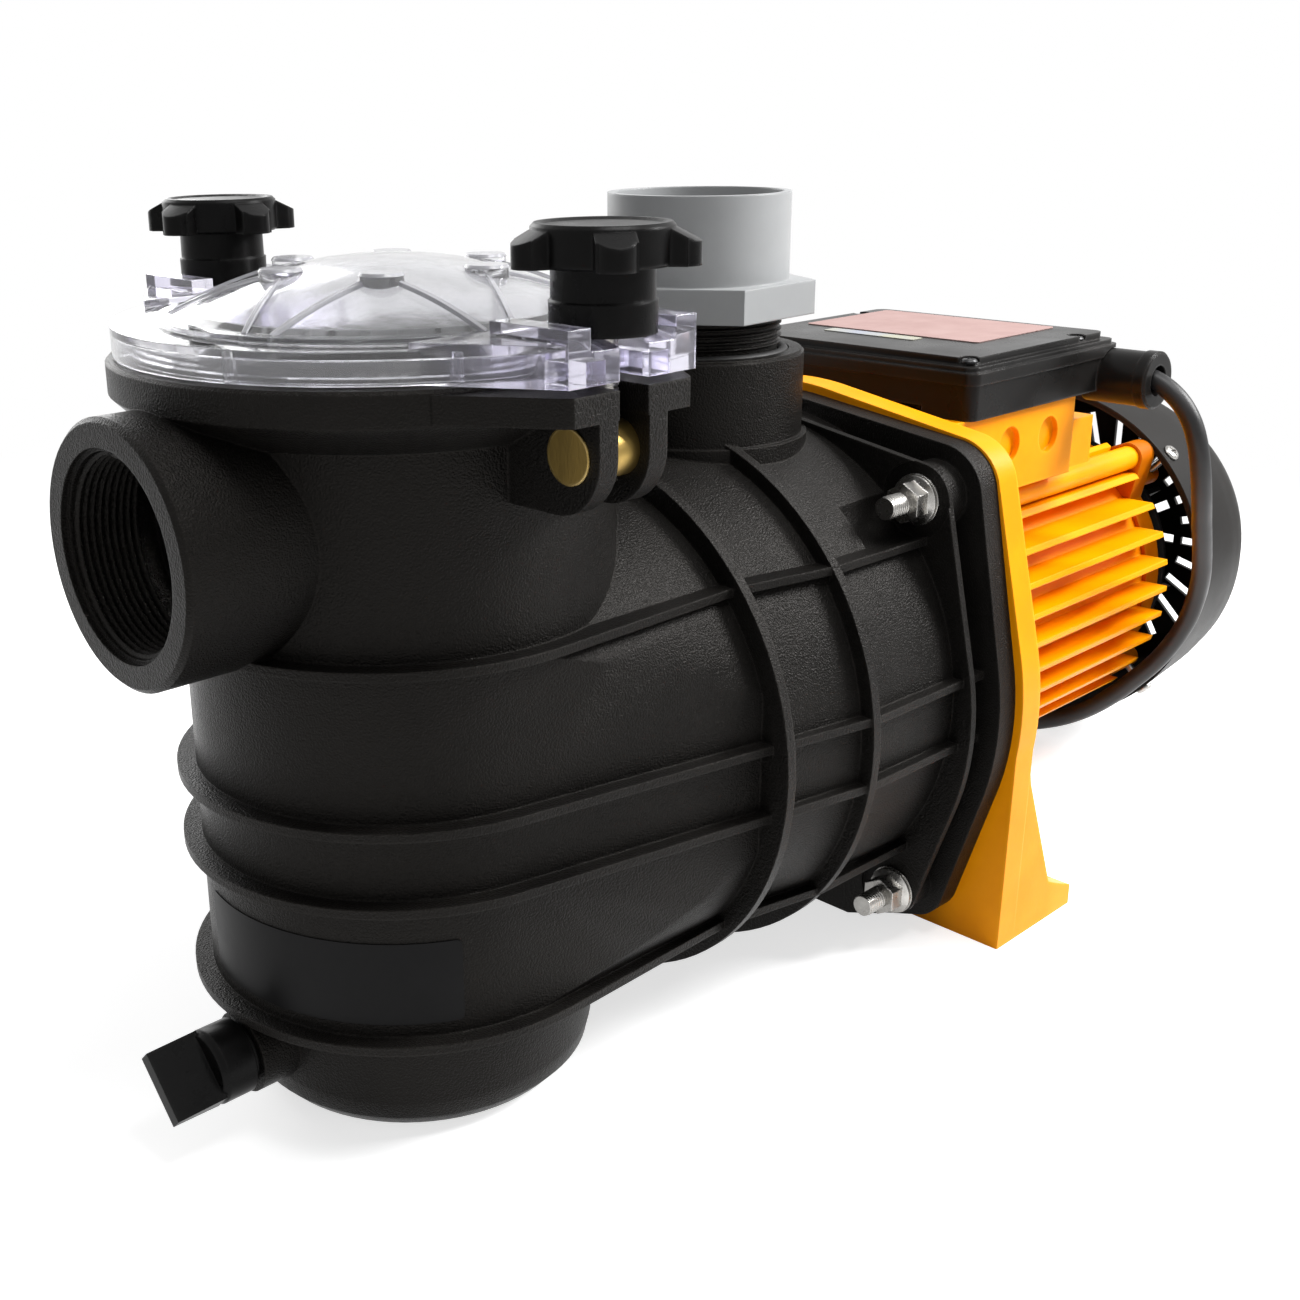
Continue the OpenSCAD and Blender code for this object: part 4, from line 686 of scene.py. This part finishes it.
LID_SCREW_XS, LID_SCREW_YS, LID_SCREW_Z = (0.240, 0.321), (-0.055, 0.055), 0.2190
box_plastic = finish("box_plastic", colour=(0.0050, 0.0046, 0.0043),
                     second=(0.0095, 0.0088, 0.0083), roughness=0.29, spread=0.07, mottle=24.0,
                     grain=1300.0, relief=0.14, rounding=0.0009, worn=(0.05, 0.047, 0.045),
                     wear=0.8, shine=0.12)
strip_plastic = finish("strip_plastic", colour=(0.78, 0.74, 0.64), second=(0.70, 0.66, 0.56),
                       roughness=0.35, mottle=60.0, relief=0.08)
capacitor_case = finish("capacitor_case", colour=(0.72, 0.72, 0.70), second=(0.64, 0.64, 0.62),
                        roughness=0.4, mottle=40.0, relief=0.08)
blackened_steel = finish("blackened_steel", colour=(0.030, 0.030, 0.031),
                         second=(0.018, 0.018, 0.019), roughness=0.35, mottle=120.0, grain=2200.0,
                         rounding=0.0004, metallic=0.7)
box_base = refined("box_base", "terminal_base", "pump", box_plastic)
box_lid = refined("box_lid", "terminal_lid", "pump", box_plastic)
gland_cap = refined("gland_cap", "gland_nut", "pump", box_plastic)
cover(strip_plastic, "terminal_block")
cover(capacitor_case, "capacitor")
lid_places = [Matrix.Translation((x, y, LID_SCREW_Z)) for x in LID_SCREW_XS for y in LID_SCREW_YS]
lid_screw_set = screws("lid_screw_set", pan_screw(radius=0.0033, height=0.0016),
                       shank_r=0.0014, shank_long=0.015, places=lid_places, body="pump",
                       material=blackened_steel)
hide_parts("terminal_screws")

# ---- Rating plate ---------------------------------------------------------
# A thin dusty pink plate, left bare, stuck on the terminal box's lid, and a
# short strip beside it.

LID_TOP, GLUE_GAP = 0.221, 0.00002


def plate(name, low, high, thickness, corner, material):
    """A flat plate with rounded corners, lying on the box's lid between two corners."""
    work = bmesh.new()
    size = (high[0] - low[0], high[1] - low[1], 1)
    middle = ((high[0] + low[0]) / 2, (high[1] + low[1]) / 2, LID_TOP + thickness)
    bmesh.ops.create_grid(work, x_segments=1, y_segments=1, size=0.5)
    bmesh.ops.scale(work, verts=work.verts, vec=size)
    bmesh.ops.translate(work, verts=work.verts, vec=middle)
    bmesh.ops.bevel(work, geom=work.verts[:], offset=corner, segments=5, profile=0.5,
                    affect="VERTICES", material=-1)
    made = bmesh.ops.extrude_face_region(work, geom=work.faces[:])
    underside = [g for g in made["geom"] if isinstance(g, bmesh.types.BMVert)]
    bmesh.ops.translate(work, verts=underside, vec=(0, 0, GLUE_GAP - thickness))
    bmesh.ops.recalc_face_normals(work, faces=work.faces)
    return placed(name, work, "pump", material)


plate_face = finish("plate_face", colour=(0.33, 0.205, 0.188), second=(0.29, 0.178, 0.164),
                    roughness=0.5, mottle=55.0, grain=800.0, relief=0.08, rounding=0.0002,
                    worn=(0.6, 0.42, 0.4))
strip_face = finish("strip_face", colour=(0.26, 0.28, 0.36), second=(0.36, 0.34, 0.20),
                    roughness=0.5, spread=0.05, grain=800.0, relief=0.08, rounding=0.0002)
plate("rating_plate", low=(0.2735, -0.037), high=(0.3350, 0.051), thickness=0.0004, corner=0.002,
      material=plate_face)
plate("side_strip", low=(0.2625, -0.013), high=(0.2705, 0.033), thickness=0.0003, corner=0.001,
      material=strip_face)

# ---- Floor and light ------------------------------------------------------
# A plain pale floor that fades into a white surround, and three soft lamps:
# overhead, behind and to the right. The floor keeps the pump's shadow.

FLOOR_GREY, FLOOR_LIFT, FADE_FROM, FADE_TO = 0.70, 0.68, 0.55, 1.1
SKY_LIGHT, SKY_SEEN = 0.32, 1.0
WHITE = (1, 1, 1, 1)
bpy.context.scene.view_settings.view_transform = "Standard"
floor_mesh = bpy.data.meshes.new("floor")
work = bmesh.new()
bmesh.ops.create_grid(work, x_segments=1, y_segments=1, size=6.0)
work.to_mesh(floor_mesh)
work.free()
floor = added("floor", floor_mesh)


def background_rays(tree):
    """One where the camera, a mirror or a clear part looks at the background, else zero."""
    seen = node(tree, "LightPath")
    mirrored = node(tree, "Math", operation="MAXIMUM")
    tree.links.new(seen.outputs["Is Camera Ray"], mirrored.inputs[0])
    tree.links.new(seen.outputs["Is Glossy Ray"], mirrored.inputs[1])
    through = node(tree, "Math", operation="MAXIMUM")
    tree.links.new(mirrored.outputs["Value"], through.inputs[0])
    tree.links.new(seen.outputs["Is Transmission Ray"], through.inputs[1])
    return through.outputs["Value"]


pale_floor, tree, shader = blank("pale_floor")
shader.inputs["Base Color"].default_value = (FLOOR_GREY, FLOOR_GREY, FLOOR_GREY, 1)
shader.inputs["Roughness"].default_value = 0.9
shader.inputs["Specular IOR Level"].default_value = 0.1
shader.inputs["Emission Color"].default_value = WHITE
lift = node(tree, "Math", operation="MULTIPLY")
lift.inputs[1].default_value = FLOOR_LIFT
tree.links.new(background_rays(tree), lift.inputs[0])
tree.links.new(lift.outputs["Value"], shader.inputs["Emission Strength"])
place = node(tree, "TexCoord")
reach = node(tree, "VectorMath", operation="LENGTH")
tree.links.new(place.outputs["Object"], reach.inputs[0])
fade = rescaled(tree, reach.outputs["Value"], (FADE_FROM, FADE_TO),
                interpolation_type="SMOOTHSTEP")
white = node(tree, "Emission", Color=WHITE)
tree.links.new(background_rays(tree), white.inputs["Strength"])
meet = node(tree, "MixShader")
tree.links.new(fade, meet.inputs[0])
tree.links.new(shader.outputs["BSDF"], meet.inputs[1])
tree.links.new(white.outputs["Emission"], meet.inputs[2])
tree.links.new(meet.outputs["Shader"], tree.nodes["Material Output"].inputs["Surface"])
floor_mesh.materials.append(pale_floor)

world = bpy.data.worlds.new("world")
bpy.context.scene.world = world
world.use_nodes = True
tree = world.node_tree
sky = tree.nodes["Background"]
sky.inputs["Color"].default_value = WHITE
sky_strength = rescaled(tree, background_rays(tree), (0.0, 1.0), (SKY_LIGHT, SKY_SEEN))
tree.links.new(sky_strength, sky.inputs["Strength"])


def soft_lamp(name, place, target, width, height, watts):
    """A rectangular soft lamp that shines from a place on to a target."""
    data = bpy.data.lights.new(name, "AREA")
    data.shape = "RECTANGLE"
    data.size = width
    data.size_y = height
    data.energy = watts
    lamp = added(name, data)
    lamp.location = place
    lamp.rotation_euler = (Vector(target) - Vector(place)).to_track_quat("-Z", "Y").to_euler()


soft_lamp("overhead", place=(0.15, -0.35, 1.20), target=(0.15, 0, 0.12), width=0.5, height=0.5,
          watts=8)
soft_lamp("back", place=(0.20, 1.25, 0.60), target=(0.15, 0, 0.12), width=1.0, height=0.8, watts=9)
soft_lamp("right", place=(0.97, -0.66, 0.93), target=(0.12, 0, 0.14), width=0.4, height=0.5,
          watts=30)
